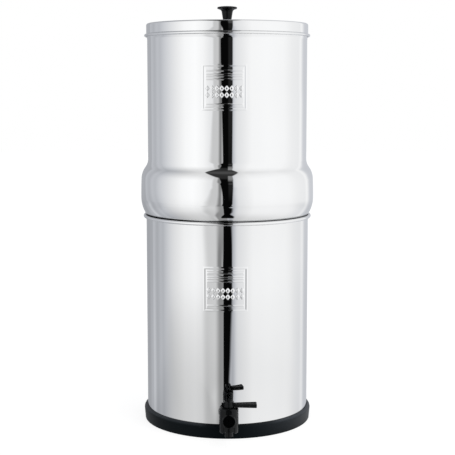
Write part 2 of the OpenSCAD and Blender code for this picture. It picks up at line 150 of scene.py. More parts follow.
class Desk:
    """The node tree of one material or world."""

    def __init__(self, owner: bpy.types.Material | bpy.types.World) -> None:
        """Clears the owner's node tree.

        Args:
            owner: the material or world to draw in.
        """
        owner.use_nodes = True
        self.tree = owner.node_tree
        self.tree.nodes.clear()

    def node(self, kind: str, settings: dict | None = None, sockets: dict | None = None) -> bpy.types.Node:
        """Adds a node.

        Args:
            kind: the node's type.
            settings: its properties, set first; "stops" is a ramp's list of (position, grey or colour).
            sockets: a value or a Wire for each named or numbered input.

        Returns:
            The new node.
        """
        made = self.tree.nodes.new(kind)
        for name, value in (settings or {}).items():
            if name == "stops":
                self._set_stops(made.color_ramp, value)
            else:
                setattr(made, name, value)
        for name, value in (sockets or {}).items():
            if isinstance(value, Wire):
                self.tree.links.new(value.socket, made.inputs[name])
            else:
                made.inputs[name].default_value = value
        return made

    @staticmethod
    def _set_stops(ramp: bpy.types.ColorRamp, stops: Sequence[tuple[float, float | Colour]]) -> None:
        """Writes a ramp's stops.

        Args:
            ramp: the ramp to fill.
            stops: (position, grey or colour) from low to high.
        """
        while len(ramp.elements) < len(stops):
            ramp.elements.new(1.0)
        for element, (position, shade) in zip(ramp.elements, stops):
            element.position = position
            element.color = (*shade, 1.0) if isinstance(shade, tuple) else (shade, shade, shade, 1.0)

    def wire(
        self, kind: str, settings: dict | None = None, sockets: dict | None = None, output: str | int = 0
    ) -> Wire:
        """Adds a node as node() does and returns one of its outputs."""
        return Wire(self, self.node(kind, settings, sockets).outputs[output])

    def math(self, operation: str, *values: "Wire | float") -> Wire:
        """A Math node on one to three values."""
        return self.wire("ShaderNodeMath", {"operation": operation}, dict(enumerate(values)))

    def mix(self, share: "Wire | float", low: "Wire | Colour", high: "Wire | Colour") -> Wire:
        """A colour that goes from low to high as share goes from 0 to 1."""
        ends = [value if isinstance(value, Wire) else (*value, 1.0) for value in (low, high)]
        return self.wire("ShaderNodeMix", {"data_type": "RGBA"}, {0: share, 6: ends[0], 7: ends[1]}, 2)

    def times(self, first: Wire, second: Wire) -> Wire:
        """Two colours multiplied."""
        settings = {"data_type": "RGBA", "blend_type": "MULTIPLY"}
        return self.wire("ShaderNodeMix", settings, {0: 1.0, 6: first, 7: second}, 2)

    def place(self, stretch: Triple = UNSTRETCHED) -> Wire:
        """The piece's own coordinates in metres, stretched along each axis."""
        spot = self.wire("ShaderNodeTexCoord", output="Object")
        return self.wire("ShaderNodeMapping", {}, {"Vector": spot, "Scale": stretch})

    def from_axis(self, x: Wire, y: Wire) -> Wire:
        """The distance from the middle of two coordinates."""
        return self.math("SQRT", x * x + y * y)

    def noise(self, size: float, detail: float = 2.0, stretch: Triple = UNSTRETCHED) -> Wire:
        """Noise from 0 to 1 with patches of about size metres."""
        sockets = {"Vector": self.place(stretch), "Scale": 1.0 / size, "Detail": detail}
        return self.wire("ShaderNodeTexNoise", {}, sockets)

    def bump(self, height: Wire, depth: float, below: Wire | None = None) -> Wire:
        """Raises the surface.

        Args:
            height: the pattern, from 0 to 1.
            depth: how far 1 stands out, in metres.
            below: another bump that this one lies on.

        Returns:
            The raised surface's normal.
        """
        sockets: dict = {"Height": height, "Distance": depth, "Strength": 1.0}
        if below is not None:
            sockets["Normal"] = below
        return self.wire("ShaderNodeBump", {}, sockets)

    def split(self, vector: Wire) -> list[Wire]:
        """A vector's three parts."""
        parts = self.node("ShaderNodeSeparateXYZ", {}, {"Vector": vector})
        return [Wire(self, socket) for socket in parts.outputs]

    def surface(self, sockets: dict) -> None:
        """Ends a material in a Principled shader."""
        shader = self.wire("ShaderNodeBsdfPrincipled", {}, sockets)
        self.node("ShaderNodeOutputMaterial", {}, {"Surface": shader})


# --------------------------------------------------------------------------------------------------- finishes


@dataclass(frozen=True)
class Finish:
    """A surface's look, which each kind of finish draws in its own way."""

    name: str

    def make(self) -> bpy.types.Material:
        """Builds the material.

        Returns:
            The new material, which has the finish's name.
        """
        material = bpy.data.materials.new(self.name)
        self.draw(Desk(material))
        return material

    def draw(self, desk: Desk) -> None:
        """Wires the finish's nodes."""
        raise NotImplementedError


@dataclass(frozen=True)
class PolishedSteel(Finish):
    """Mirror-polished sheet, a little wavy, with faint lines round it from the polishing wheel.

    Painted shade darkens the colour where the two chambers meet, in a circle of radius seam[0] at height
    seam[1], and stands for the shadow in that crevice. There is less of it towards the right, past two
    bounds along X.
    """

    name: str = "polished_steel"
    tint: Colour = (0.715, 0.72, 0.725)
    dull: Colour = (0.685, 0.69, 0.695)
    smooth: float = 0.02
    haze: float = 0.015
    patch: float = 90 * MM
    line: float = 1.2 * MM
    line_stretch: Triple = (0.02, 0.02, 1.0)
    line_depth: float = 0.0006 * MM
    wave: float = 110 * MM
    wave_stretch: Triple = (1.0, 1.0, 0.5)
    wave_depth: float = 0.12 * MM
    seam: Point = (120.05 * MM, 308.3 * MM)
    # painted shade: a dark colour that stands for the shadow in the crevice where the chambers meet
    painted_shade: Colour = (0.05, 0.05, 0.053)
    painted_shade_reach: Point = (1.9 * MM, 4.0 * MM)
    shade_fade: float = 0.55
    shade_fade_from: Point = (-70 * MM, -30 * MM)

    def draw(self, desk: Desk) -> None:
        """Wires a metal with patches, fine lines, long waves and the painted shade at the seam.

        Args:
            desk: the material's nodes.
        """
        patches = desk.noise(self.patch)
        lines = desk.noise(self.line, 1.0, self.line_stretch)
        waves = desk.bump(desk.noise(self.wave, 1.0, self.wave_stretch), self.wave_depth)
        x, y, z = desk.split(desk.place())
        # painted shade: the colour darkens near the seam circle for the crevice's shadow, less so at the right
        away = desk.from_axis(desk.from_axis(x, y) - self.seam[0], z - self.seam[1])
        painted_shade = away.fall(*self.painted_shade_reach) * (1.0 - self.shade_fade * x.rise(*self.shade_fade_from))
        desk.surface({
            "Base Color": desk.mix(painted_shade, desk.mix(patches, self.tint, self.dull), self.painted_shade),
            "Metallic": 1.0,
            "Roughness": self.smooth + self.haze * patches * lines,
            "Normal": desk.bump(lines, self.line_depth, waves),
        })


@dataclass(frozen=True)
class PlainSteel(Finish):
    """Stainless steel of small hardware, with fine turning marks."""

    name: str = "screw_steel"
    tint: Colour = (0.58, 0.59, 0.60)
    worn: Colour = (0.68, 0.69, 0.70)
    smooth: float = 0.22
    haze: float = 0.14
    mark: float = 0.8 * MM
    mark_stretch: Triple = (0.2, 0.2, 1.0)
    mark_depth: float = 0.01 * MM

    def draw(self, desk: Desk) -> None:
        """Wires a metal with turning marks.

        Args:
            desk: the material's nodes.
        """
        marks = desk.noise(self.mark, 2.0, self.mark_stretch)
        desk.surface({
            "Base Color": desk.mix(marks, self.tint, self.worn),
            "Metallic": 1.0,
            "Roughness": self.smooth + self.haze * marks,
            "Normal": desk.bump(marks, self.mark_depth),
        })


@dataclass(frozen=True)
class Moulded(Finish):
    """Moulded plastic or rubber with a fine skin grain and slight mottling."""

    tint: Colour
    pale: Colour
    smooth: float
    rough: float
    grain: float
    depth: float
    gloss: float = 0.5
    shine: Colour = WHITE
    cloud: float = 14 * MM

    def draw(self, desk: Desk) -> None:
        """Wires a skin whose colour is mottled and whose roughness follows the mottling and the grain.

        Args:
            desk: the material's nodes.
        """
        clouds = desk.noise(self.cloud, 3.0)
        skin = desk.noise(self.grain, 3.0)
        rough = self.smooth + (self.rough - self.smooth) * (0.5 * clouds + 0.5 * skin)
        desk.surface({
            "Specular IOR Level": self.gloss,
            "Specular Tint": (*self.shine, 1.0),
            "Base Color": self.with_painted_light(desk, desk.mix(clouds, self.tint, self.pale)),
            "Roughness": self.wear(desk, rough),
            "Normal": desk.bump(skin * self.grained(desk), self.depth),
        })

    def with_painted_light(self, desk: Desk, colour: Wire) -> Wire:
        """The colour with any painted light laid on it, which here is none."""
        return colour

    def wear(self, desk: Desk, rough: Wire) -> Wire:
        """The roughness once the piece has been used, which here is that of the skin."""
        return rough

    def grained(self, desk: Desk) -> "Wire | float":
        """How much of the grain each place has."""
        return 1.0


@dataclass(frozen=True)
class RingRubber(Moulded):
    """Rubber with a painted highlight on the base ring's upper edge and painted reflection on its right.

    The edge's painted light is how much of it lies at the left, in the middle and at the right.
    """

    # painted light: a lighter colour that stands for the ring's highlight and reflection
    painted_light: Colour = (0.040, 0.044, 0.051)
    ring: Point = (117.0 * MM, 118.0 * MM)
    top: Point = (16.5 * MM, 19.8 * MM)
    above: Point = (20.8 * MM, 25.0 * MM)
    edge_painted_light: Triple = (0.58, 0.08, 0.62)
    edge_left: Point = (-42 * MM, -28 * MM)
    edge_right: Point = (55 * MM, 80 * MM)
    side_painted_light: float = 0.55
    side_low: float = 0.15
    side_from: Point = (15 * MM, 125 * MM)

    def with_painted_light(self, desk: Desk, colour: Wire) -> Wire:
        """Paints light on the rubber: a highlight along the upper edge and a reflection on the right side.

        Args:
            desk: the material's nodes.
            colour: the rubber's colour without the painted light.

        Returns:
            The colour with the painted light.
        """
        x, y, z = desk.split(desk.place())
        ring = desk.from_axis(x, y).rise(*self.ring) * z.fall(*self.above)
        left, middle, right = self.edge_painted_light
        painted_light = middle + left * x.fall(*self.edge_left) + right * x.rise(*self.edge_right)
        # painted highlight along the upper edge, and painted reflection on the right side that grows towards
        # the top
        edge = z.rise(*self.top) * painted_light
        side = (self.side_low + z / self.top[1]) * x.rise(*self.side_from) * self.side_painted_light
        return desk.mix(ring * desk.math("MINIMUM", edge + side, 1.0), colour, self.painted_light)


@dataclass(frozen=True)
class TapPlastic(Moulded):
    """Moulded plastic without grain on the barrel's front, polished on its plug and matt on the paddle."""

    front: Point = (175.5 * MM, 177.9 * MM)
    plug: Point = (8.0 * MM, 8.6 * MM)
    plug_height: float = 41.2 * MM
    paddle_from: Point = (9.0 * MM, 11.0 * MM)
    paddle_low: Point = (57.5 * MM, 58.0 * MM)
    paddle_high: Point = (100 * MM, 200 * MM)
    polish: float = 0.05
    matt: float = 0.55

    def on_front(self, desk: Desk) -> Wire:
        """Where the barrel's flat front and its plug are."""
        _, y, _ = desk.split(desk.place())
        return (y * FORWARD).rise(*self.front)

    def wear(self, desk: Desk, rough: Wire) -> Wire:
        """Polishes the front plug and rubs the paddle matt.

        Args:
            desk: the material's nodes.
            rough: the skin's roughness.

        Returns:
            The roughness with the wear.
        """
        x, _, z = desk.split(desk.place())
        paddle = desk.math("ABSOLUTE", x).rise(*self.paddle_from)
        paddle = paddle * z.rise(*self.paddle_low) * z.fall(*self.paddle_high)
        rough = rough + (self.matt - rough) * paddle
        plug = desk.from_axis(x, z - self.plug_height).fall(*self.plug)
        return rough + (self.polish - rough) * self.on_front(desk) * plug

    def grained(self, desk: Desk) -> Wire:
        """The grain, which the front doesn't have."""
        return 1.0 - self.on_front(desk)


@dataclass(frozen=True)
class Porous(Finish):
    """Ceramic or pressed carbon: pits and specks in a chalky body."""

    tint: Colour
    pale: Colour
    pit: float
    depth: float
    chalk: float = 6 * MM
    specks: Point = (0.3, 0.7)
    smooth: float = 0.78
    haze: float = 0.18

    def draw(self, desk: Desk) -> None:
        """Wires a chalky colour and a pitted surface.

        Args:
            desk: the material's nodes.
        """
        sockets = {"Vector": desk.place(), "Scale": 1.0 / self.pit}
        pits = desk.wire("ShaderNodeTexVoronoi", {"feature": "F1"}, sockets, "Distance")
        chalk = desk.noise(self.chalk, 5.0)
        desk.surface({
            "Base Color": desk.mix(chalk.rise(*self.specks), self.tint, self.pale),
            "Roughness": self.smooth + self.haze * chalk,
            "Normal": desk.bump(pits + chalk, self.depth),
        })


FINISHES: dict[Slot, Finish] = {
    Slot.STEEL: PolishedSteel(),
    Slot.SCREW: PlainSteel(),
    Slot.BLACK: TapPlastic(
        "black_plastic", (0.0009, 0.001, 0.0012), (0.0018, 0.0019, 0.0022),
        smooth=0.15, rough=0.25, grain=0.6 * MM, depth=0.008 * MM, gloss=0.19, shine=(0.94, 0.97, 1.0),
    ),
    Slot.GREY: Moulded(
        "grey_plastic", (0.26, 0.27, 0.28), (0.32, 0.33, 0.34),
        smooth=0.30, rough=0.45, grain=0.8 * MM, depth=0.01 * MM,
    ),
    Slot.WHITE: Moulded(
        "white_plastic", (0.74, 0.74, 0.72), (0.82, 0.82, 0.80),
        smooth=0.32, rough=0.5, grain=0.8 * MM, depth=0.01 * MM,
    ),
    Slot.CERAMIC: Porous("ceramic", (0.78, 0.75, 0.67), (0.88, 0.86, 0.79), pit=1.1 * MM, depth=0.08 * MM),
    Slot.CARBON: Porous("carbon", (0.016, 0.016, 0.017), (0.05, 0.05, 0.05), pit=0.9 * MM, depth=0.2 * MM),
    Slot.RUBBER: RingRubber(
        "rubber", (0.0003, 0.0008, 0.0013), (0.0006, 0.0014, 0.0022),
        smooth=0.34, rough=0.46, grain=1.1 * MM, depth=0.03 * MM, gloss=0.10, shine=(0.70, 0.89, 1.0),
    ),
}


class Finisher:
    """Puts finishes and bodies on pieces."""

    def __init__(self) -> None:
        """Makes each finish once."""
        self.materials = {slot: finish.make() for slot, finish in FINISHES.items()}

    def dress(self, piece: bpy.types.Object, slot: Slot) -> None:
        """Gives a piece one finish all over."""
        piece.data.materials.clear()
        piece.data.materials.append(self.materials[slot])

    def fit(self, piece: bpy.types.Object, body: Body, slot: Slot, *nodes: str) -> None:
        """Finishes a new piece and puts it on its body.

        Args:
            piece: the new piece.
            body: the body that it rides on.
            slot: its finish.
            nodes: the nodes that it stands for.
        """
        self.dress(piece, slot)
        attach(piece, body.value)
        if nodes:
            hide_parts(*nodes)
        log.info("%s: %d faces, on %s", piece.name, len(piece.data.polygons), body.value)

    def keep(self, node: str, slot: Slot) -> None:
        """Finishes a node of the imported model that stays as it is."""
        self.dress(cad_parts[node], slot)
        log.info("%s: kept from the frame", node)


# -------------------------------------------------------------------------------------------------- modelling


@dataclass
class Outline:
    """A turned piece's section, as points (radius, height) in metres."""

    points: list[Point] = field(default_factory=list)

    def to(self, *points: Point) -> "Outline":
        """Goes straight to each point."""
        self.points.extend(points)
        return self

    def arc(self, centre: Point, radius: float, start: float, end: float, step: float = 4.0) -> "Outline":
        """Goes round an arc.

        Args:
            centre: the arc's centre.
            radius: its radius.
            start: the angle at which it starts, in degrees from the outward direction.
            end: the angle at which it ends.
            step: the largest angle between two points.

        Returns:
            This outline.
        """
        count = max(2, math.ceil(abs(end - start) / step))
        for index in range(count + 1):
            angle = math.radians(start + (end - start) * index / count)
            self.points.append((centre[0] + radius * math.cos(angle), centre[1] + radius * math.sin(angle)))
        return self

    def reverse(self) -> "Outline":
        """The same points in the other order."""
        return Outline(self.points[::-1])


class Bench:
    """Blender's modelling operators, as a turner and fitter would use them."""

    @staticmethod
    def clear() -> None:
        """Leaves nothing selected."""
        bpy.ops.object.select_all(action="DESELECT")

    @staticmethod
    def pick(*pieces: bpy.types.Object) -> None:
        """Selects pieces and nothing else.

        Args:
            pieces: what to select; the first one becomes active.
        """
        Bench.clear()
        for piece in pieces:
            piece.select_set(True)
        bpy.context.view_layer.objects.active = pieces[0]

    @staticmethod
    def named(name: str) -> bpy.types.Object:
        """Takes up the new primitive and puts its place into its mesh.

        Args:
            name: the piece's name.

        Returns:
            The named piece.
        """
        piece = bpy.context.object
        piece.name = name
        piece.data.name = name
        bpy.ops.object.transform_apply(location=True, rotation=True, scale=True)
        return piece

    @staticmethod
    def smooth(piece: bpy.types.Object, angle: float = 32.0) -> bpy.types.Object:
        """Shades a piece smooth except at its sharp edges.

        Args:
            piece: what to shade.
            angle: edges sharper than this, in degrees, stay sharp.

        Returns:
            The piece.
        """
        Bench.pick(piece)
        bpy.ops.object.shade_smooth_by_angle(angle=math.radians(angle))
        return piece

    @staticmethod
    def outward(piece: bpy.types.Object, gap: float = 1e-7) -> bpy.types.Object:
        """Merges a piece's doubled points and turns its faces outwards.

        Args:
            piece: what to clean.
            gap: points nearer than this, in metres, are one point.

        Returns:
            The piece.
        """
        Bench.pick(piece)
        bpy.ops.object.mode_set(mode="EDIT")
        bpy.ops.mesh.select_all(action="SELECT")
        bpy.ops.mesh.remove_doubles(threshold=gap)
        bpy.ops.mesh.normals_make_consistent(inside=False)
        bpy.ops.object.mode_set(mode="OBJECT")
        return piece

    @staticmethod
    def apply(piece: bpy.types.Object, kind: str, **settings: object) -> bpy.types.Object:
        """Adds a modifier to a piece and applies it.

        Args:
            piece: what to change.
            kind: the modifier's type.
            settings: its properties.

        Returns:
            The piece.
        """
        Bench.pick(piece)
        modifier = piece.modifiers.new(kind.lower(), kind)
        for name, value in settings.items():
            setattr(modifier, name, value)
        bpy.ops.object.modifier_apply(modifier=modifier.name)
        return piece

    @staticmethod
    def bevel(piece: bpy.types.Object, width: float, angle: float) -> bpy.types.Object:
        """Rounds a piece's edges that are sharper than angle degrees."""
        limit = {"limit_method": "ANGLE", "angle_limit": math.radians(angle)}
        return Bench.apply(piece, "BEVEL", width=width, segments=3, **limit)

    @staticmethod
    def turned(name: str, outline: Outline, steps: int = ROUND, angle: float = 32.0) -> bpy.types.Object:
        """Spins a section round the Z axis.

        Args:
            name: the piece's name.
            outline: the closed section; where it meets the axis, its first and last points are on the axis.
            steps: the number of steps in the full turn.
            angle: edges sharper than this stay sharp.

        Returns:
            The turned piece.
        """
        Bench.clear()
        bpy.ops.mesh.primitive_circle_add(vertices=len(outline.points), fill_type="NOTHING")
        piece = Bench.named(name)
        for vertex, (radius, height) in zip(piece.data.vertices, outline.points):
            vertex.co = (radius, 0.0, height)
        bpy.ops.object.mode_set(mode="EDIT")
        bpy.ops.mesh.select_mode(type="EDGE")
        bpy.ops.mesh.select_all(action="DESELECT")
        mesh = bmesh.from_edit_mesh(piece.data)
        for edge in mesh.edges:
            if all(abs(vertex.co.x) < 1e-9 for vertex in edge.verts):
                edge.select_set(True)
        bmesh.update_edit_mesh(piece.data)
        bpy.ops.mesh.delete(type="EDGE")
        bpy.ops.mesh.select_all(action="SELECT")
        bpy.ops.mesh.spin(steps=steps, angle=math.tau, center=(0, 0, 0), axis=(0, 0, 1))
        bpy.ops.object.mode_set(mode="OBJECT")
        return Bench.smooth(Bench.outward(piece), angle)

    @staticmethod
    def choose(piece: bpy.types.Object, test: Callable[[bmesh.types.BMFace], bool]) -> None:
        """Selects, in edit mode, only the faces that pass a test.

        Args:
            piece: the piece that is being edited.
            test: says whether a face is wanted.
        """
        bpy.ops.mesh.select_mode(type="FACE")
        bpy.ops.mesh.select_all(action="DESELECT")
        mesh = bmesh.from_edit_mesh(piece.data)
        for face in mesh.faces:
            if test(face):
                face.select_set(True)
        bmesh.update_edit_mesh(piece.data)

    @staticmethod
    def bar(
        name: str, radius: float, middle: Vector, length: float, axis: Axis, sides: int = ROUND
    ) -> bpy.types.Object:
        """Makes a round bar.

        Args:
            name: its name.
            radius: its radius.
            middle: its middle.
            length: its length.
            axis: the way it lies.
            sides: how many sides stand for its roundness.

        Returns:
            The bar.
        """
        Bench.clear()
        bpy.ops.mesh.primitive_cylinder_add(
            vertices=sides, radius=radius, depth=length, location=middle, rotation=axis.value
        )
        return Bench.named(name)

    @staticmethod
    def block(name: str, low: Vector, high: Vector) -> bpy.types.Object:
        """Makes a square block.

        Args:
            name: its name.
            low: its lowest corner.
            high: its highest corner.

        Returns:
            The block.
        """
        Bench.clear()
        bpy.ops.mesh.primitive_cube_add(size=1.0, location=(low + high) / 2, scale=high - low)
        return Bench.named(name)

    @staticmethod
    def shift(piece: bpy.types.Object, way: Vector) -> bpy.types.Object:
        """Moves a piece's mesh.

        Args:
            piece: what to move.
            way: how far.

        Returns:
            The piece.
        """
        Bench.pick(piece)
        piece.location = way
        bpy.ops.object.transform_apply(location=True, rotation=False, scale=False)
        return piece

    @staticmethod
    def cut(piece: bpy.types.Object, *tools: bpy.types.Object) -> bpy.types.Object:
        """Cuts the tools out of a piece, and deletes them.

        Args:
            piece: what to cut.
            tools: the shapes to take away.

        Returns:
            The piece.
        """
        for tool in tools:
            Bench.apply(piece, "BOOLEAN", operation="DIFFERENCE", solver="EXACT", object=tool)
            bpy.data.objects.remove(tool)
        return piece

    @staticmethod
    def melt(name: str, grain: float, rounds: int, *parts: bpy.types.Object) -> bpy.types.Object:
        """Joins overlapping parts into one skin with softly rounded corners, as a moulding has.

        Args:
            name: the moulding's name.
            grain: the size of its faces, in metres.
            rounds: how many times its corners are smoothed.
            parts: closed parts that overlap; the first one becomes the moulding.

        Returns:
            The moulding.
        """
        Bench.pick(*parts)
        bpy.ops.object.join()
        piece = bpy.context.object
        piece.name = name
        piece.data.name = name
        Bench.apply(piece, "REMESH", mode="VOXEL", voxel_size=grain)
        Bench.apply(piece, "SMOOTH", factor=0.5, iterations=rounds)
        return Bench.smooth(piece, 50.0)

    @staticmethod
    def copy(piece: bpy.types.Object, name: str, way: Vector) -> bpy.types.Object:
        """Copies a piece with a mesh of its own, and moves the copy.

        Args:
            piece: what to copy.
            name: the copy's name.
            way: how far the copy moves.

        Returns:
            The copy.
        """
        double = piece.copy()
        double.data = piece.data.copy()
        double.name = name
        double.data.name = name
        bpy.context.scene.collection.objects.link(double)
        return Bench.shift(double, way)


def upright(node: str) -> tuple[Vector, Vector, Vector]:
    """A node's box: its lowest corner, its highest corner, and its middle."""
    low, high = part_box(node)
    return low, high, (low + high) / 2


# ------------------------------------------------------------------------------------------------ the vessels


@dataclass
class Sheet:
    """What all three steel pieces share.

    The lower rim is rolled with the radius bead, and the upper chamber sits on it with the gap seat. The
    upper rim is rolled with the radius roll. Both rolls end at the angle curl_end.
    """

    thick: float = 0.8 * MM
    bead: float = 2.5 * MM
    roll: float = 2.1 * MM
    curl_end: float = -115.0
    seat: float = 0.3 * MM
    steps: int = 240

    def curl(self, outline: Outline, centre: Point, radius: float) -> Outline:
        """Rolls an outline's edge outwards about a centre, and comes back on the outside of the roll."""
        outline.arc(centre, radius - self.thick, 180.0, self.curl_end, 9.0)
        return outline.arc(centre, radius, self.curl_end, 180.0, 9.0)


@dataclass
class LowerChamber:
    """The vessel that holds the filtered water and carries the tap.

    Its wall has rings of points at wall_rows, which are shares of the way from the floor's corner to the rim.
    """

    sheet: Sheet
    hole: float = 8.2 * MM
    drill: float = 30 * MM
    wall_rows: tuple[float, ...] = (0.01, 0.08, 0.2, 0.4, 0.6, 0.8)

    def __post_init__(self) -> None:
        """Reads the vessel's size from the frame."""
        low, high, _ = upright("lower_chamber")
        self.floor = low.z
        self.wall = high.x - 2 * self.sheet.bead + self.sheet.thick
        self.rim = (high.x - self.sheet.bead, high.z - self.sheet.bead)
        self.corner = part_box("base_ring")[1].z - low.z
        self.tap_height = upright("tap_nut")[2].z

    def skin(self, depth: float) -> Outline:
        """Draws the sheet's outline from the floor to the rim.

        Args:
            depth: how far under the sheet's outside.

        Returns:
            The outline, which starts on the axis.
        """
        corner = (self.wall - self.corner, self.floor + self.corner)
        outline = Outline().to((0.0, self.floor + depth))
        outline.arc(corner, self.corner - depth, -90.0, 0.0)
        for share in self.wall_rows:
            outline.to((self.wall - depth, corner[1] + share * (self.rim[1] - corner[1])))
        return outline

    def build(self, finisher: Finisher) -> None:
        """Turns the vessel and drills it for the tap.

        Args:
            finisher: dresses the pieces.
        """
        outline = self.sheet.curl(self.skin(0.0), self.rim, self.sheet.bead)
        outline.to(*self.skin(self.sheet.thick).reverse().points)
        vessel = Bench.turned("lower_vessel", outline, self.sheet.steps)
        drill = Bench.bar("drill", self.hole, Vector((0, -self.wall, self.tap_height)), self.drill, Axis.Y)
        Bench.smooth(Bench.cut(vessel, drill))
        finisher.fit(vessel, Body.BASE, Slot.STEEL, "lower_chamber")


@dataclass
class UpperChamber:
    """The vessel with the bulge, whose neck stands inside the lower one.

    The bulge is widest at bulge_rise above the lower rim. From there a barrel curves in by barrel_slope
    degrees, and a shoulder and a flare lead into the straight wall, which is narrower than the lower one by
    step. The lip under the rim is (how far it leans out, height). Rows are where the outline has points, as
    radii or as shares of a height, and those of the lip also say how much of the lean there is.
    """

    sheet: Sheet
    lower: LowerChamber
    step: float = 3.1 * MM
    neck_gap: float = 4.9 * MM
    neck_corner: float = 8.0 * MM
    neck_fillet: float = 5.0 * MM
    bulge_rise: float = 27.3 * MM
    barrel: float = 700.0 * MM
    barrel_slope: float = 2.3
    shoulder: float = 30.0 * MM
    flare: float = 21.0 * MM
    lip: Point = (0.9 * MM, 7.0 * MM)
    arc_step: float = 2.5
    barrel_step: float = 0.6
    floor_rows: Point = (50 * MM, 80 * MM)
    wall_rows: tuple[float, ...] = (0.012, 0.25, 0.5, 0.75, 0.985, 1.0)
    lip_rows: Profile = ((0.25, 0.14), (0.5, 0.42), (0.75, 0.75))
    floor_hole: float = 6.5 * MM
    drill: float = 6 * MM

    def __post_init__(self) -> None:
        """Works out the centres of the bulge's arcs from the frame's sizes."""
        low, high, _ = upright("upper_chamber")
        self.floor = low.z
        self.wall = self.lower.wall - self.step
        roll = self.sheet.roll
        self.rim = (self.wall + self.lip[0] - self.sheet.thick + roll, high.z - roll)
        self.neck = self.lower.wall - self.sheet.thick - self.neck_gap
        self.widest = (high.x, self.lower.rim[1] + self.bulge_rise)
        inward = high.x - self.lower.rim[0]
        reach = self.sheet.bead + self.sheet.seat
        self.under = (inward**2 + self.bulge_rise**2 - reach**2) / (2 * (inward + reach))
        self.under_centre = (high.x - self.under, self.widest[1])
        fillet_x = self.neck + self.neck_fillet
        side = fillet_x - self.under_centre[0]
        drop = math.sqrt((self.under + self.neck_fillet) ** 2 - side**2)
        self.fillet_centre = (fillet_x, self.widest[1] - drop)
        self.under_angle = math.degrees(math.atan2(drop, side))
        slope = math.radians(self.barrel_slope)
        self.barrel_centre = (high.x - self.barrel, self.widest[1])
        self.shoulder_centre = (
            self.barrel_centre[0] + (self.barrel - self.shoulder) * math.cos(slope),
            self.barrel_centre[1] + (self.barrel - self.shoulder) * math.sin(slope),
        )
        side = self.wall + self.flare - self.shoulder_centre[0]
        rise = math.sqrt((self.shoulder + self.flare) ** 2 - side**2)
        self.flare_centre = (self.wall + self.flare, self.shoulder_centre[1] + rise)
        self.flare_angle = math.degrees(math.atan2(rise, side))

    def skin(self, depth: float) -> Outline:
        """Draws the sheet's outline from the floor to the rim.

        Args:
            depth: how far under the sheet's outside.

        Returns:
            The outline, which starts on the axis.
        """
        corner = (self.neck - self.neck_corner, self.floor + self.neck_corner)
        outline = Outline().to(*((row, self.floor + depth) for row in (0.0, *self.floor_rows)))
        outline.arc(corner, self.neck_corner - depth, -90.0, 0.0)
        outline.arc(self.fillet_centre, self.neck_fillet + depth, 180.0, 180.0 - self.under_angle)
        step, slope = self.arc_step, self.barrel_slope
        outline.arc(self.under_centre, self.under - depth, -self.under_angle, 0.0, step)
        outline.arc(self.barrel_centre, self.barrel - depth, 0.0, slope, self.barrel_step)
        outline.arc(self.shoulder_centre, self.shoulder - depth, slope, self.flare_angle, step)
        outline.arc(self.flare_centre, self.flare + depth, 180.0 + self.flare_angle, 180.0, step)
        foot = self.rim[1] - self.lip[1]
        for share in self.wall_rows:
            outline.to((self.wall - depth, self.flare_centre[1] + share * (foot - self.flare_centre[1])))
        for share, lean in self.lip_rows:
            outline.to((self.wall - depth + lean * self.lip[0], foot + share * self.lip[1]))
        return outline

    def build(self, finisher: Finisher) -> None:
        """Turns the vessel and drills its floor for the filters and the blanking plugs.

        Args:
            finisher: dresses the pieces.
        """
        outline = self.sheet.curl(self.skin(0.0), self.rim, self.sheet.roll)
        outline.to(*self.skin(self.sheet.thick).reverse().points)
        vessel = Bench.turned("upper_vessel", outline, self.sheet.steps)
        ring = upright("right_filter_foot")[2].x
        for number, spot in enumerate(((ring, 0.0), (0.0, ring), (-ring, 0.0), (0.0, -ring))):
            middle = Vector((spot[0], spot[1], self.floor))
            drill = Bench.bar(f"drill_{number}", self.floor_hole, middle, self.drill, Axis.Z, SMALL_ROUND)
            Bench.cut(vessel, drill)
        finisher.fit(Bench.smooth(vessel), Body.UPPER, Slot.STEEL, "upper_chamber")


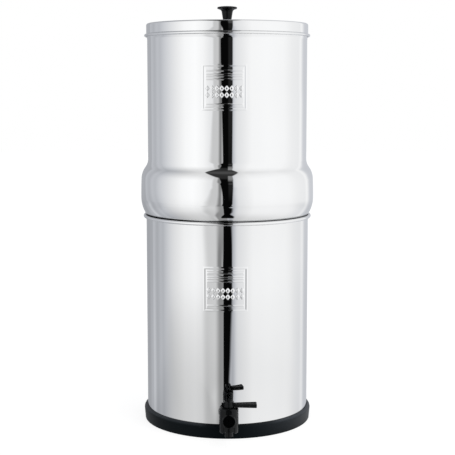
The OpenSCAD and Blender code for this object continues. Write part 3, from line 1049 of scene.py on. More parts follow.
@dataclass
class Lid:
    """The pressed lid and the knob that is screwed to it.

    The lid has a rounded edge, a hem, and a skirt as deep as plug. The knob's flare and throat are shares of
    its radius and height, and its thread is (radius, depth).
    """

    sheet: Sheet
    edge: float = 2.7 * MM
    hem: float = 1.0 * MM
    plug: float = 11.0 * MM
    plug_gap: float = 0.8 * MM
    step: float = 1.3 * MM
    hole: float = 2.2 * MM
    flat_rows: Point = (40 * MM, 80 * MM)
    knob_foot: float = 5.4 * MM
    foot_edge: float = 0.3 * MM
    flare: float = 0.3
    flare_end: float = 110.0
    throat: Point = (0.55, 0.64)
    rim_half: float = 1.6 * MM
    dome: float = 1.2 * MM
    thread: Point = (2.05 * MM, 12.0 * MM)

    def build(self, finisher: Finisher) -> None:
        """Turns the lid and its knob.

        Args:
            finisher: dresses the pieces.
        """
        self.build_lid(finisher)
        self.build_knob(finisher)
        finisher.keep("knob_screw", Slot.SCREW)
        finisher.keep("knob_washer", Slot.SCREW)

    def build_lid(self, finisher: Finisher) -> None:
        """Turns the lid, with the skirt that plugs into the upper chamber.

        Args:
            finisher: dresses the pieces.
        """
        low, high, _ = upright("lid")
        thick = self.sheet.thick
        bottom = low.z + self.plug
        skirt = high.x - self.step - thick - self.plug_gap
        edge = (high.x - self.edge, high.z - self.edge)
        hem = (high.x - self.hem, bottom + self.hem)
        rows = (self.hole, *self.flat_rows)
        outline = Outline().to(*((row, high.z) for row in rows))
        outline.arc(edge, self.edge, 90.0, 0.0).arc(hem, self.hem, 0.0, -90.0, step=15.0)
        outline.to((skirt, bottom), (skirt, low.z), (skirt - thick, low.z), (skirt - thick, bottom + thick))
        outline.arc(hem, self.hem - thick, -90.0, 0.0, step=45.0).arc(edge, self.edge - thick, 0.0, 90.0)
        outline.to(*((row, high.z - thick) for row in reversed(rows)))
        finisher.fit(Bench.turned("lid_pan", outline, self.sheet.steps), Body.LID, Slot.STEEL, "lid")

    def build_knob(self, finisher: Finisher) -> None:
        """Turns the knob, whose neck flares out under a thin domed rim.

        Args:
            finisher: dresses the pieces.
        """
        low, high, _ = upright("lid_knob")
        tall, wide = high.z - low.z, high.x
        flare = self.flare * wide
        throat = (self.throat[0] * wide + flare, low.z + self.throat[1] * tall)
        rim = (wide - self.rim_half, high.z - self.dome - self.rim_half)
        arch = (rim[0] ** 2 + self.dome**2) / (2 * self.dome)
        lean = math.degrees(math.asin(rim[0] / arch))
        bore, depth = self.thread
        outline = Outline().to((bore, low.z), (self.knob_foot - self.foot_edge, low.z))
        outline.to((self.knob_foot, low.z + self.foot_edge))
        outline.arc(throat, flare, 180.0, self.flare_end).arc(rim, self.rim_half, -90.0, 90.0, step=12.0)
        outline.arc((0.0, high.z - arch), arch, 90.0 - lean, 90.0, step=1.5)
        outline.to((0.0, low.z + depth), (bore, low.z + depth))
        knob = Bench.turned("knob", outline, angle=50.0)
        finisher.fit(knob, Body.LID, Slot.BLACK, "lid_knob")


@dataclass
class BaseRing:
    """The rubber ring that the lower chamber stands in, hollowed for the chamber's corner."""

    lower: LowerChamber
    hole: float = 98.0 * MM
    edge: float = 1.0 * MM
    draft: float = 1.2 * MM
    shoulder: float = 5.0 * MM
    shoulder_end: float = 84.0
    lip: float = 0.35 * MM
    seat_start: float = -4.0
    steps: int = 192

    def build(self, finisher: Finisher) -> None:
        """Turns the ring.

        Args:
            finisher: dresses the pieces.
        """
        _, high, _ = upright("base_ring")
        inside = self.lower.wall + FIT
        corner = (self.lower.wall - self.lower.corner, high.z)
        outline = Outline()
        outline.arc((self.hole + self.edge, self.edge), self.edge, 180.0, 270.0, step=15.0)
        outline.arc((high.x - self.draft - self.edge, self.edge), self.edge, -90.0, 0.0, step=15.0)
        shoulder = (high.x - self.shoulder, high.z - self.shoulder)
        outline.arc(shoulder, self.shoulder, 0.0, self.shoulder_end, step=6.0)
        outline.to((inside + self.lip, high.z), (inside, high.z - self.lip))
        outline.arc(corner, self.lower.corner + FIT, self.seat_start, -90.0)
        outline.to((corner[0] - FIT, self.lower.floor), (self.hole, self.lower.floor))
        ring = Bench.turned("ring", outline, self.steps, angle=40.0)
        finisher.fit(ring, Body.BASE, Slot.RUBBER, "base_ring")


@dataclass
class PressedPanel:
    """A panel pressed into a chamber's wall: a grooved frame, a band of small lozenges, and plain lines.

    The panel's middle is at height, and offset to the right of the wall's front. A ridge is (half width,
    height), the groove is (half width, share of proud), and the band is (half width, half height). Its
    lozenges are counted across and up.
    """

    name: str
    wall: float
    height: float
    body: Body
    offset: float
    proud: float = 0.28 * MM
    sunk: float = FIT
    plate: float = 0.3 * MM
    width: float = 65.4 * MM
    tall: float = 65.7 * MM
    slope: float = 3.0 * MM
    ridge: Point = (1.3 * MM, 0.46 * MM)
    groove: Point = (2.0 * MM, 0.75)
    groove_in: float = 4.6 * MM
    band: Point = (27.2 * MM, 9.0 * MM)
    band_drop: float = 6.0 * MM
    lozenges: Point = (8.0, 2.0)
    lozenge_slope: float = 1.6
    relief: float = 0.75 * MM
    lines: tuple[float, ...] = (23.0 * MM, 18.0 * MM, 15.2 * MM, 11.3 * MM, -23.0 * MM)
    line_half: float = 25.0 * MM
    line_end: float = 1.4 * MM
    cells: int = 180

    @staticmethod
    def ease(value: float) -> float:
        """A smooth step from 0 to 1."""
        value = min(1.0, max(0.0, value))
        return value * value * (3.0 - 2.0 * value)

    def ridge_at(self, away: float, ridge: Point) -> float:
        """The height of a rounded ridge at a distance from its middle."""
        return ridge[1] * self.ease(1.0 - abs(away) / ridge[0])

    def lozenge_at(self, across: float, up: float) -> float:
        """Works out the relief of the band of lozenges.

        Args:
            across: how far right of the panel's middle.
            up: how far above it.

        Returns:
            The height above the panel.
        """
        place = (across, up + self.band_drop)
        if any(abs(part) > half for part, half in zip(place, self.band)):
            return 0.0
        grid = zip(place, self.band, self.lozenges)
        spots = [(part / half / 2 + 0.5) * count for part, half, count in grid]
        inside = 1.0 - 2.0 * sum(abs(spot % 1.0 - 0.5) for spot in spots)
        return self.relief * self.ease(inside * self.lozenge_slope)

    def rise(self, across: float, up: float) -> float:
        """Works out the whole panel's relief.

        Args:
            across: how far right of the panel's middle.
            up: how far above it.

        Returns:
            The height above the wall.
        """
        inset = min(self.width / 2 - abs(across), self.tall / 2 - abs(up))
        groove = self.ridge_at(inset - self.groove_in, self.groove)
        height = self.proud * (self.ease(inset / self.slope) - groove)
        if abs(across) < self.line_half + self.line_end:
            fade = self.ease((self.line_half + self.line_end - abs(across)) / self.line_end)
            height += fade * max(self.ridge_at(up - line, self.ridge) for line in self.lines)
        return height + self.lozenge_at(across, up)

    def build(self, finisher: Finisher) -> None:
        """Presses the plate and wraps it round the wall.

        Args:
            finisher: dresses the pieces.
        """
        Bench.clear()
        bpy.ops.mesh.primitive_grid_add(x_subdivisions=self.cells, y_subdivisions=self.cells, size=1.0)
        plate = Bench.named(self.name)
        for vertex in plate.data.vertices:
            across, up = vertex.co.x * self.width, vertex.co.y * self.tall
            turn = (across + self.offset) / self.wall
            out = self.wall + self.rise(across, up) - self.sunk
            vertex.co = (out * math.sin(turn), -out * math.cos(turn), self.height + up)
        Bench.apply(plate, "SOLIDIFY", thickness=self.plate, offset=-1.0)
        finisher.fit(Bench.smooth(Bench.outward(plate), 60.0), self.body, Slot.STEEL)


# ---------------------------------------------------------------------------------------------------- the tap


@dataclass
class Tap:
    """The lever tap: a barrel with two side fins, a spout, a valve plug, a bonnet and a lever.

    Heights are above the inlet's middle, and -Y is ahead of the barrel's upright axis. A grain is (size of
    the faces, rounds of smoothing). The nose is (radius, height of its foot), the flange and the washer are
    (radius, thickness), the valve's and the collar's bores are (radius, height of the bottom), the bonnet is
    (radius, height of the top), the drive is (radius, width across its flats), the lever's root and tail are
    (radius, reach), and the paddle's two ends are (thickness, breadth).
    """

    wall: float
    body_grain: tuple[float, int] = (0.45 * MM, 5)
    lever_grain: tuple[float, int] = (0.3 * MM, 2)
    edge: float = 2.0 * MM
    low: float = -16.5 * MM
    high: float = 18.4 * MM
    fork: float = -7.0 * MM
    fin: float = 7.6 * MM
    radius: float = 13.4 * MM
    spout: float = 5.9 * MM
    spout_bore: float = 3.5 * MM
    spout_bore_top: float = -9.5 * MM
    face: float = 12.65 * MM
    front: float = 13.6 * MM
    nose: Point = (12.2 * MM, -16.4 * MM)
    waist: float = -14.0 * MM
    boss: float = 9.3 * MM
    boss_rise: float = 1.8 * MM
    recess: float = 7.7 * MM
    recess_depth: float = 2.8 * MM
    recess_ahead: float = 2.0 * MM
    key: float = 7.0 * MM
    key_drop: float = 4.2 * MM
    front_plug: float = 2.1 * MM
    front_plug_edge: float = 0.35 * MM
    inlet: float = 9.0 * MM
    inlet_bore: float = 5.0 * MM
    flange: Point = (13.5 * MM, 5.0 * MM)
    thread: float = 8.0 * MM
    valve: Point = (7.55 * MM, -10.5 * MM)
    collar: Point = (9.05 * MM, 10.6 * MM)
    washer: Point = (14.0 * MM, 3.0 * MM)
    washer_edge: float = 0.4 * MM
    wall_sides: int = 480
    bonnet: Point = (10.2 * MM, 18.9 * MM)
    bonnet_edge: float = 0.2 * MM
    spindle: float = 5.5 * MM
    hub: float = 7.0 * MM
    hub_low: float = 19.2 * MM
    hub_high: float = 27.8 * MM
    hub_edge: float = 1.2 * MM
    drive: Point = (4.05 * MM, 6.5 * MM)
    drive_top: float = 25.65 * MM
    lever_rise: float = 22.3 * MM
    root: Point = (3.1 * MM, 10.0 * MM)
    paddle_rise: float = 21.9 * MM
    paddle_lap: float = 1.5 * MM
    paddle_hollow: Point = (2.2 * MM, 0.7 * MM)
    paddle_edge: float = 0.8 * MM
    paddle_root: Point = (5.0 * MM, 10.0 * MM)
    paddle_tip: Point = (5.4 * MM, 14.8 * MM)
    tail: Point = (3.0 * MM, 10.2 * MM)

    def __post_init__(self) -> None:
        """Reads where the tap's upright axis and its inlet are."""
        nut = upright("tap_nut")[2]
        plug = upright("tap_plug")[2]
        self.centre = Vector((0.0, plug.y, nut.z))
        self.reach = -plug.y - self.wall

    def at(self, x: float, y: float, z: float) -> Vector:
        """A place in the tap's own frame, as a place in the object's."""
        return self.centre + Vector((x, y, z))

    def along(self, name: str, radius: float, start: float, end: float, rise: float = 0) -> bpy.types.Object:
        """A round bar along Y, from start to end in the tap's frame."""
        return Bench.bar(name, radius, self.at(0, (start + end) / 2, rise), end - start, Axis.Y)

    def key_prism(
        self, name: str, radius: float, start: float, depth: float, slack: float = 0.0
    ) -> bpy.types.Object:
        """Makes the front plug's shape: a disc with a pointed key below it.

        Args:
            name: its name.
            radius: the disc's radius.
            start: where it starts along Y in the tap's frame.
            depth: its length along Y.
            slack: how much smaller the key is than its slot, at each side.

        Returns:
            The shape.
        """
        disc = self.along(name, radius, start, start + depth, self.boss_rise)
        half = (self.key / 2 - slack) * math.sqrt(2.0)
        spot = self.at(0, start + depth / 2, self.boss_rise - self.key_drop)
        Bench.clear()
        bpy.ops.mesh.primitive_cylinder_add(
            vertices=4, radius=half, depth=depth, location=spot, rotation=(math.pi / 2, 0, 0)
        )
        point = Bench.named(name + "_key")
        Bench.apply(disc, "BOOLEAN", operation="UNION", solver="EXACT", object=point)
        bpy.data.objects.remove(point)
        return disc

    def build(self, finisher: Finisher) -> None:
        """Makes every piece of the tap.

        Args:
            finisher: dresses the pieces.
        """
        self.build_body(finisher)
        self.build_front_plug(finisher)
        self.build_bonnet(finisher)
        self.build_lever(finisher)
        self.build_washer(finisher)
        finisher.keep("tap_inner_washer", Slot.RUBBER)
        finisher.keep("tap_nut", Slot.BLACK)
        finisher.keep("tap_plug", Slot.GREY)
        finisher.keep("tap_orings", Slot.RUBBER)

    def build_body(self, finisher: Finisher) -> None:
        """Moulds the barrel, fins, spout, inlet neck, flange and threaded stem in one.

        Args:
            finisher: dresses the pieces.
        """
        barrel = Outline().to((0.0, self.low))
        barrel.arc((self.radius - self.edge, self.low + self.edge), self.edge, -90.0, 0.0, 9.0)
        barrel.arc((self.radius - self.edge, self.high - self.edge), self.edge, 0.0, 90.0, 9.0)
        barrel.to((0.0, self.high))
        body = Bench.shift(Bench.turned("body", barrel), self.centre)
        wide = 2 * self.radius
        Bench.cut(
            body,
            Bench.block("slot", self.at(-self.fin, -wide, -wide), self.at(self.fin, wide, self.fork)),
            Bench.block("front_cut", self.at(-wide, -2 * wide, -wide), self.at(wide, -self.face, wide)),
        )
        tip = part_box("tap_body")[0].z - self.centre.z
        spout = Outline().to((0.0, tip), (self.spout, tip), (self.spout, self.nose[1]))
        shoulder = self.fork + self.edge
        spout.to((self.nose[0], self.waist), (self.nose[0], shoulder), (0.0, shoulder))
        flange_face = self.reach - self.washer[1]
        stem_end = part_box("tap_body")[1].y - self.centre.y
        body = Bench.melt(
            "tap_moulding", *self.body_grain, body,
            Bench.shift(Bench.turned("nozzle", spout), self.centre),
            self.along("boss", self.boss, -self.front, 0.0, self.boss_rise),
            self.along("neck", self.inlet, 0.0, flange_face),
            self.along("flange", self.flange[0], flange_face - self.flange[1], flange_face),
            self.along("stem", self.thread, flange_face - self.edge, stem_end),
        )
        spout_bore = 2 * (self.spout_bore_top - tip)
        ahead = self.recess_ahead
        Bench.cut(
            body,
            *(
                Bench.bar("bore", radius, self.at(0, 0, (low + wide) / 2), wide - low, Axis.Z)
                for radius, low in (self.valve, self.collar)
            ),
            Bench.bar("spout_bore", self.spout_bore, self.at(0, 0, tip), spout_bore, Axis.Z, SMALL_ROUND),
            self.along("inlet_bore", self.inlet_bore, 0.0, stem_end + self.edge),
            self.key_prism("recess", self.recess, -self.front - ahead, ahead + self.recess_depth),
        )
        finisher.fit(Bench.smooth(body, 50.0), Body.BASE, Slot.BLACK, "tap_body")

    def build_front_plug(self, finisher: Finisher) -> None:
        """Makes the keyed plug in the front of the barrel.

        Args:
            finisher: dresses the pieces.
        """
        front = self.recess_depth - self.front - self.front_plug
        plug = self.key_prism("front_plug", self.recess - FIT, front, self.front_plug, FIT)
        Bench.bevel(plug, self.front_plug_edge, 40.0)
        Bench.apply(Bench.smooth(plug, 45.0), "WEIGHTED_NORMAL")
        finisher.fit(plug, Body.BASE, Slot.BLACK, "tap_front_plug")

    def build_bonnet(self, finisher: Finisher) -> None:
        """Turns the ring that keeps the valve plug in.

        Args:
            finisher: dresses the pieces.
        """
        wide, top = self.bonnet
        collar, collar_low = self.collar[0] - FIT, self.collar[1]
        edge = self.bonnet_edge
        corner = wide - edge
        outline = Outline().to((self.spindle, collar_low), (collar, collar_low), (collar, self.high))
        outline.to((corner, self.high)).arc((corner, self.high + edge), edge, -90.0, 0.0, step=18.0)
        outline.arc((corner, top - edge), edge, 0.0, 90.0, step=18.0)
        outline.to((self.spindle, top))
        ring = Bench.shift(Bench.turned("bonnet", outline), self.centre)
        finisher.fit(ring, Body.BASE, Slot.BLACK, "tap_bonnet")

    def paddle(self) -> bpy.types.Object:
        """Shapes the paddle from a block: it widens to its tip and has a shallow hollow on each face.

        Returns:
            The paddle.
        """
        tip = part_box("tap_lever")[1].x
        start = self.root[1] - self.paddle_lap
        thick, broad = self.paddle_root
        low = self.at(start, -broad / 2, self.paddle_rise - thick / 2)
        high = self.at(tip, broad / 2, self.paddle_rise + thick / 2)
        paddle = Bench.block("paddle", low, high)
        bpy.ops.object.mode_set(mode="EDIT")
        Bench.choose(paddle, lambda face: face.normal.x > FACING)
        bpy.ops.transform.resize(value=(1.0, self.paddle_tip[1] / broad, self.paddle_tip[0] / thick))
        Bench.choose(paddle, lambda face: abs(face.normal.z) > FACING)
        bpy.ops.mesh.inset(thickness=self.paddle_hollow[0], use_individual=True)
        bpy.ops.mesh.extrude_faces_move()
        bpy.ops.transform.shrink_fatten(value=-self.paddle_hollow[1])
        bpy.ops.mesh.select_all(action="SELECT")
        bpy.ops.mesh.bevel(offset=self.paddle_edge, segments=3)
        bpy.ops.object.mode_set(mode="OBJECT")
        return paddle

    def build_lever(self, finisher: Finisher) -> None:
        """Moulds the hub, the paddle and the tail in one, and cuts the socket under the hub.

        Args:
            finisher: dresses the pieces.
        """
        edge = self.hub_edge
        hub = Outline().to((0.0, self.hub_low), (self.hub, self.hub_low))
        hub.arc((self.hub - edge, self.hub_high - edge), edge, 0.0, 90.0, 9.0).to((0.0, self.hub_high))
        parts = [Bench.shift(Bench.turned("hub", hub), self.centre)]
        for name, side, (radius, end) in (("root", 1.0, self.root), ("tail", -1.0, self.tail)):
            middle = self.at(side * end / 2, 0, self.lever_rise)
            parts.append(Bench.bar(name, radius, middle, end, Axis.X, SMALL_ROUND))
        lever = Bench.melt("lever", *self.lever_grain, *parts, self.paddle())
        wide, flats = self.drive
        deep = self.drive_top - self.hub_low
        socket = Bench.bar("socket", wide, self.at(0, 0, self.hub_low), 2 * deep, Axis.Z, SMALL_ROUND)
        for side in (-1.0, 1.0):
            low = self.at(-2 * wide, min(side * flats / 2, side * 2 * wide), 0.0)
            high = self.at(2 * wide, max(side * flats / 2, side * 2 * wide), 2 * self.hub_high)
            Bench.cut(socket, Bench.block("flat", low, high))
        finisher.fit(Bench.smooth(Bench.cut(lever, socket), 50.0), Body.VALVE, Slot.BLACK, "tap_lever")

    def build_washer(self, finisher: Finisher) -> None:
        """Makes the outer washer, hollowed to the chamber's curve.

        Args:
            finisher: dresses the pieces.
        """
        wide, thick = self.washer
        washer = self.along("outer_washer", wide, self.reach - thick, self.reach + thick)
        middle = Vector((0, 0, self.centre.z))
        Bench.cut(
            washer,
            self.along("stem_hole", self.thread + FIT, 0.0, self.reach + 2 * thick),
            Bench.bar("wall_curve", self.wall + FIT, middle, 4 * wide, Axis.Z, self.wall_sides),
        )
        Bench.bevel(washer, self.washer_edge, 50.0)
        finisher.fit(Bench.smooth(washer, 45.0), Body.BASE, Slot.RUBBER, "tap_outer_washer")


# ------------------------------------------------------------------------------------------------ the filters


@dataclass
class Filters:
    """The candle filters and the blanking plugs, with their washers and wing nuts.

    The cup is what holds a shell on its foot. A nut is (radius, height), and its wing is (reach, thickness,
    radius of the tip).
    """

    wall: float = 8.0 * MM
    cup: float = 4.0 * MM
    cup_edge: float = 1.0 * MM
    cup_rim: float = 0.3 * MM
    stem: float = 6.0 * MM
    stem_edge: float = 0.5 * MM
    bore: float = 3.0 * MM
    nut: Point = (9.5 * MM, 8.0 * MM)
    nut_edge: float = 1.0 * MM
    nut_sides: int = 64
    nut_grain: tuple[float, int] = (0.45 * MM, 3)
    wing: Triple = (19.0 * MM, 3.0 * MM, 4.5 * MM)
    wing_start: float = 4.0 * MM

    def build(self, finisher: Finisher) -> None:
        """Makes both filters and both plugs.

        Args:
            finisher: dresses the pieces.
        """
        for side in ("left", "right"):
            self.build_candle(finisher, side)
        self.build_wing_nuts(finisher, "filter_wing_nuts", Axis.X)
        self.build_wing_nuts(finisher, "plug_wing_nuts", Axis.Y)
        finisher.keep("filter_washers", Slot.RUBBER)
        finisher.keep("plug_washers", Slot.RUBBER)
        finisher.keep("blanking_plugs", Slot.WHITE)

    def build_candle(self, finisher: Finisher, side: str) -> None:
        """Turns one filter's ceramic shell and its plastic foot.

        Args:
            finisher: dresses the pieces.
            side: "left" or "right".
        """
        low, high, middle = upright(f"{side}_filter_shell")
        spot = Vector((middle.x, middle.y, 0.0))
        wide = high.x - middle.x
        top = high.z - wide
        inside = wide - self.wall
        shell = Outline().to((inside, low.z), (wide, low.z))
        shell.arc((0.0, top), wide, 0.0, 90.0, step=5.0).arc((0.0, top), inside, 90.0, 0.0, step=5.0)
        candle = Bench.shift(Bench.turned(f"{side}_candle", shell), spot)
        finisher.fit(candle, Body.UPPER, Slot.CERAMIC, f"{side}_filter_shell")
        outline = self.foot(upright(f"{side}_filter_foot"), wide + FIT)
        cup = Bench.shift(Bench.turned(f"{side}_foot", outline), spot)
        finisher.fit(cup, Body.UPPER, Slot.WHITE, f"{side}_filter_foot")
        finisher.keep(f"{side}_filter_core", Slot.CARBON)

    def foot(self, box: tuple[Vector, Vector, Vector], inside: float) -> Outline:
        """Draws a foot: the threaded stem, and the cup that the shell is glued into.

        Args:
            box: the foot's lowest corner, its highest corner and its middle.
            inside: the cup's inner radius.

        Returns:
            The closed section.
        """
        low, high, middle = box
        wide = high.x - middle.x
        shoulder = upright("filter_washers")[1].z
        edge, rim = self.cup_edge, self.cup_rim
        outline = Outline().to((self.bore, low.z), (self.stem - self.stem_edge, low.z))
        outline.to((self.stem, low.z + self.stem_edge), (self.stem, shoulder), (wide - edge, shoulder))
        outline.arc((wide - edge, shoulder + edge), edge, -90.0, 0.0, step=18.0)
        outline.to((wide, high.z - rim), (wide - rim, high.z), (inside, high.z))
        return outline.to((inside, high.z - self.cup), (self.bore, high.z - self.cup))

    def build_wing_nuts(self, finisher: Finisher, node: str, row: Axis) -> None:
        """Moulds a pair of wing nuts, which stand on opposite sides of the axis.

        Args:
            finisher: dresses the pieces.
            node: the node that they stand for.
            row: the axis along which they stand apart.
        """
        low, high, _ = upright(node)
        radius, tall = self.nut
        span, thick, tip = self.wing
        foot = high.z - tall
        outline = Outline().to((0.0, foot), (radius - self.nut_edge, foot), (radius, foot + self.nut_edge))
        outline.to((radius, high.z), (0.0, high.z))
        parts = [Bench.turned("boss", outline, self.nut_sides)]
        for side in (-1.0, 1.0):
            middle = Vector((side * (span - tip), 0.0, low.z + tip))
            parts.append(Bench.bar("tip", tip, middle, thick, Axis.Y, SMALL_ROUND))
            inner, outer = sorted((side * self.wing_start, side * (span - tip)))
            corners = Vector((inner, -thick / 2, low.z)), Vector((outer, thick / 2, high.z))
            parts.append(Bench.block("blade", *corners))
        nut = Bench.melt(f"{node}_a", *self.nut_grain, *parts)
        thread = Bench.bar("thread", self.stem + FIT, Vector((0, 0, high.z)), 6 * tall, Axis.Z, SMALL_ROUND)
        Bench.smooth(Bench.cut(nut, thread), 50.0)
        way = Vector((high.x - span, 0, 0))
        if row is Axis.Y:
            way = Vector((0, high.y - span, 0))
            nut.rotation_euler = (0, 0, math.pi / 2)
            Bench.pick(nut)
            bpy.ops.object.transform_apply(location=False, rotation=True, scale=False)
        twin = Bench.copy(nut, f"{node}_b", -way)
        Bench.shift(nut, way)
        for piece in (nut, twin):
            finisher.fit(piece, Body.UPPER, Slot.WHITE, node)


# ------------------------------------------------------------------------------------------- light and camera


@dataclass(frozen=True)
class Stairs:
    """A value that starts at base and changes by a smooth step or more, each a (change, from, to)."""

    base: float
    steps: tuple[Triple, ...]

    def over(self, wire: Wire) -> Wire:
        """Wires the value.

        Args:
            wire: what climbs the stairs.

        Returns:
            The value at each place.
        """
        total: Wire | float = self.base
        for change, low, high in self.steps:
            total = total + change * wire.rise(low, high)
        return total


@dataclass
class LightTent:
    """The white tent that the steel mirrors: pale cloth all round, with a dark gap at the front.

    A direction is a turn to the right of the heading and a level above the horizon, both in degrees. The
    cloth's light is a profile over the turn, shaded by a profile over the level at the left and at the right.
    The gap and two greyer widths of cloth at its left have bounds, which are turns over the level.
    """

    heading: float = -0.8
    peak: float = 1.4
    half_turn: float = 180.0
    straight_up: float = 90.0
    widest: float = 40.0
    cloth: Profile = (
        (-180, 0.50), (-164, 0.48), (-152, 0.53), (-143, 0.53), (-139, 0.67), (-127, 0.61), (-119, 0.72),
        (-111, 0.69), (-102, 0.82), (-78, 1.13), (-62, 1.32), (-46, 1.385), (-34, 1.30), (-24, 1.13),
        (-6, 1.0), (7.2, 0.62), (8.8, 0.69), (10.1, 0.79), (11.5, 0.90), (12.8, 0.98), (15, 1.06),
        (25, 1.17), (36, 1.30), (60, 1.33), (90, 1.30), (108, 1.19), (126, 1.14), (132, 1.23), (136, 1.12),
        (142, 0.86), (148, 0.78), (180, 0.62),
    )
    left: Profile = (
        (-90, 0.66), (-52, 0.85), (-44, 0.875), (-36, 0.93), (-28, 0.98), (-21, 0.95), (-17, 0.905),
        (-14, 0.91), (-8, 0.93), (-4, 1.0), (20, 1.0), (33, 0.89), (44, 0.78), (56, 0.73), (90, 0.70),
    )
    right: Profile = (
        (-90, 0.58), (-52, 0.815), (-44, 0.90), (-36, 0.975), (-28, 0.99), (-21, 0.98), (-14, 0.94),
        (-8, 0.965), (-4, 1.0), (27, 1.0), (42, 0.94), (50, 0.90), (63, 0.79), (90, 0.75),
    )
    sides: Point = (-0.3, 0.1)
    gap_left: Stairs = Stairs(10.5, (
        (-5.6, -52, -39), (0.4, -25, -9), (2.0, -10, -7), (-1.5, -7.1, -6.1), (3.4, -4.2, 2.6), (-0.9, 4, 12),
        (3.1, 14, 38),
    ))
    gap_right: Stairs = Stairs(11.9, (
        (-7.0, -50.5, -39), (2.4, -42, -30), (-1.6, -17.6, -15.6), (-2.8, -16, -14.6), (1.7, -15, -13.2),
        (2.3, -13.9, -9.9), (-1.3, -9, -7.3), (1.3, -7.4, -6.1), (0.9, -6, 0), (0.6, 19, 27),
    ))
    gap_low: Point = (-57.0, -54.0)
    gap_high: Point = (46.0, 51.0)
    gap_left_soft: float = 0.4
    gap_right_soft: Stairs = Stairs(2.0, ((-1.2, -12.0, -9.0),))
    outer: Profile = (
        (-60, 28), (-44, 28), (-36, 31), (-30, 33), (-17, 31), (-11, 33), (-8.3, 28.5), (-5.7, 27.5),
        (-4.6, 26), (-3.2, 23), (-1.8, 21.5), (-0.8, 19.4), (90, 19.2),
    )
    outer_soft: Stairs = Stairs(5.5, ((-3.5, -6.0, -1.0),))
    outer_light: Stairs = Stairs(0.895, ((-0.04, -13.0, -10.0), (-0.055, -10.0, -4.0)))
    inner: Profile = (
        (-60, 19.0), (-44, 19.0), (-36, 16.2), (-30, 14.2), (-24, 13.4), (-17, 13.4), (-11, 13.6),
        (-8.5, 14.0), (-7, 13.4), (-6, 12.5), (-4.5, 12.2), (-3.2, 11.4), (6, 11.3), (14, 13.2), (90, 13.2),
    )
    inner_soft: Stairs = Stairs(2.5, ((2.0, -38.0, -28.0), (-1.9, -12.0, -9.0), (-0.9, -6.0, -1.0)))
    inner_light: Stairs = Stairs(0.40, ((-0.10, -11.5, -9.5),))
    slit_turn: Point = (-9.0, -7.0)
    slit_light: Stairs = Stairs(0.0, ((0.27, -10.5, -8.0), (-0.27, -3.5, -0.5)))
    middle: Point = (0.0, 1.0)
    slide: float = 10.0
    slide_turn: Point = (-112.0, -80.0)
    slide_level: Point = (-9.0, -3.0)
    early: Stairs = Stairs(0.0, ((1.0, -5.0, -2.5), (1.6, -1.2, 0.4)))
    end_level: Point = (-13.0, -5.0)
    left_end: Stairs = Stairs(0.0, ((0.20, -146.0, -136.0), (-0.20, -126.0, -120.0)))
    right_end: Stairs = Stairs(0.0, ((-0.10, 95.0, 125.0), (0.05, 130.0, 138.0)))
    cool: Colour = (0.975, 1.0, 1.06)
    cool_below: Point = (0.45, 0.9)
    dark: Stairs = Stairs(0.003, ((0.03, 26.0, 38.0),))
    haze: Stairs = Stairs(0.0, ((0.018, -6.0, -1.0), (0.06, 2.6, 3.4), (-0.06, 6.0, 9.0)))
    haze_turn: Point = (0.5, 3.0)
    veil: Stairs = Stairs(0.0, ((0.26, 13.0, 31.0),))
    veil_turn: Point = (0.3, 2.3)
    roof_middle: Point = (-0.09, -0.2)
    roof_half: Point = (0.28, 0.62)
    roof_edge: Point = (0.85, 1.1)
    roof_level: Point = (0.0, 0.4)
    roof_light: Stairs = Stairs(0.04, ((0.05, 0.82, 0.90),))

    def ramp(self, desk: Desk, share: Wire, span: float, stops: Profile, top: float = 1.0) -> Wire:
        """A ramp over an angle from -span to span degrees, with its values divided by top."""
        placed = [(0.5 + angle / (2 * span), value / top) for angle, value in stops]
        return desk.wire("ShaderNodeValToRGB", {"stops": placed}, {"Fac": share / (2 * span) + 0.5})

    def bounds(self, desk: Desk, level: Wire, stops: Profile) -> Wire:
        """A bound's degrees from the heading at each level."""
        return self.widest * self.ramp(desk, level, self.straight_up, stops, self.widest)

    def cloth_light(self, desk: Desk, turn: Wire, level: Wire, x: Wire) -> Wire:
        """Wires the plain cloth.

        Args:
            desk: the world's nodes.
            turn: the direction's turn.
            level: the direction's level.
            x: how far the direction points to the right.

        Returns:
            The cloth's colour.
        """
        slide = self.slide * level.fall(*self.slide_level) * turn.fall(*self.slide_turn)
        early = self.early.over(level) * turn.rise(*self.middle)
        cloth = self.ramp(desk, turn - slide + early, self.half_turn, self.cloth, self.peak)
        ends = self.left_end.over(turn) + self.right_end.over(turn)
        cloth = cloth * (1.0 + level.fall(*self.end_level) * ends)
        left, right = (self.ramp(desk, level, self.straight_up, stops) for stops in (self.left, self.right))
        tint = desk.mix(cloth.rise(*self.cool_below), self.cool, WHITE)
        return desk.times(desk.times(cloth, desk.mix(x.rise(*self.sides), left, right)), tint)

    def bands(self, desk: Desk, light: Wire, turn: Wire, level: Wire) -> Wire:
        """Hangs two greyer widths of cloth at the gap's left.

        Args:
            desk: the world's nodes.
            light: the plain cloth's colour.
            turn: the direction's turn.
            level: the direction's level.

        Returns:
            The colour with both widths of cloth.
        """
        slit = self.slit_light.over(level) * turn.rise(*self.slit_turn)
        for bound, soft, grey in (
            (self.outer, self.outer_soft, self.outer_light.over(level)),
            (self.inner, self.inner_soft, self.inner_light.over(level) + slit),
        ):
            start = self.bounds(desk, level, bound) * -1.0
            inside = turn.cross(start, soft.over(level)) * turn.fall(*self.middle)
            light = desk.mix(inside, light, grey / self.peak)
        return light

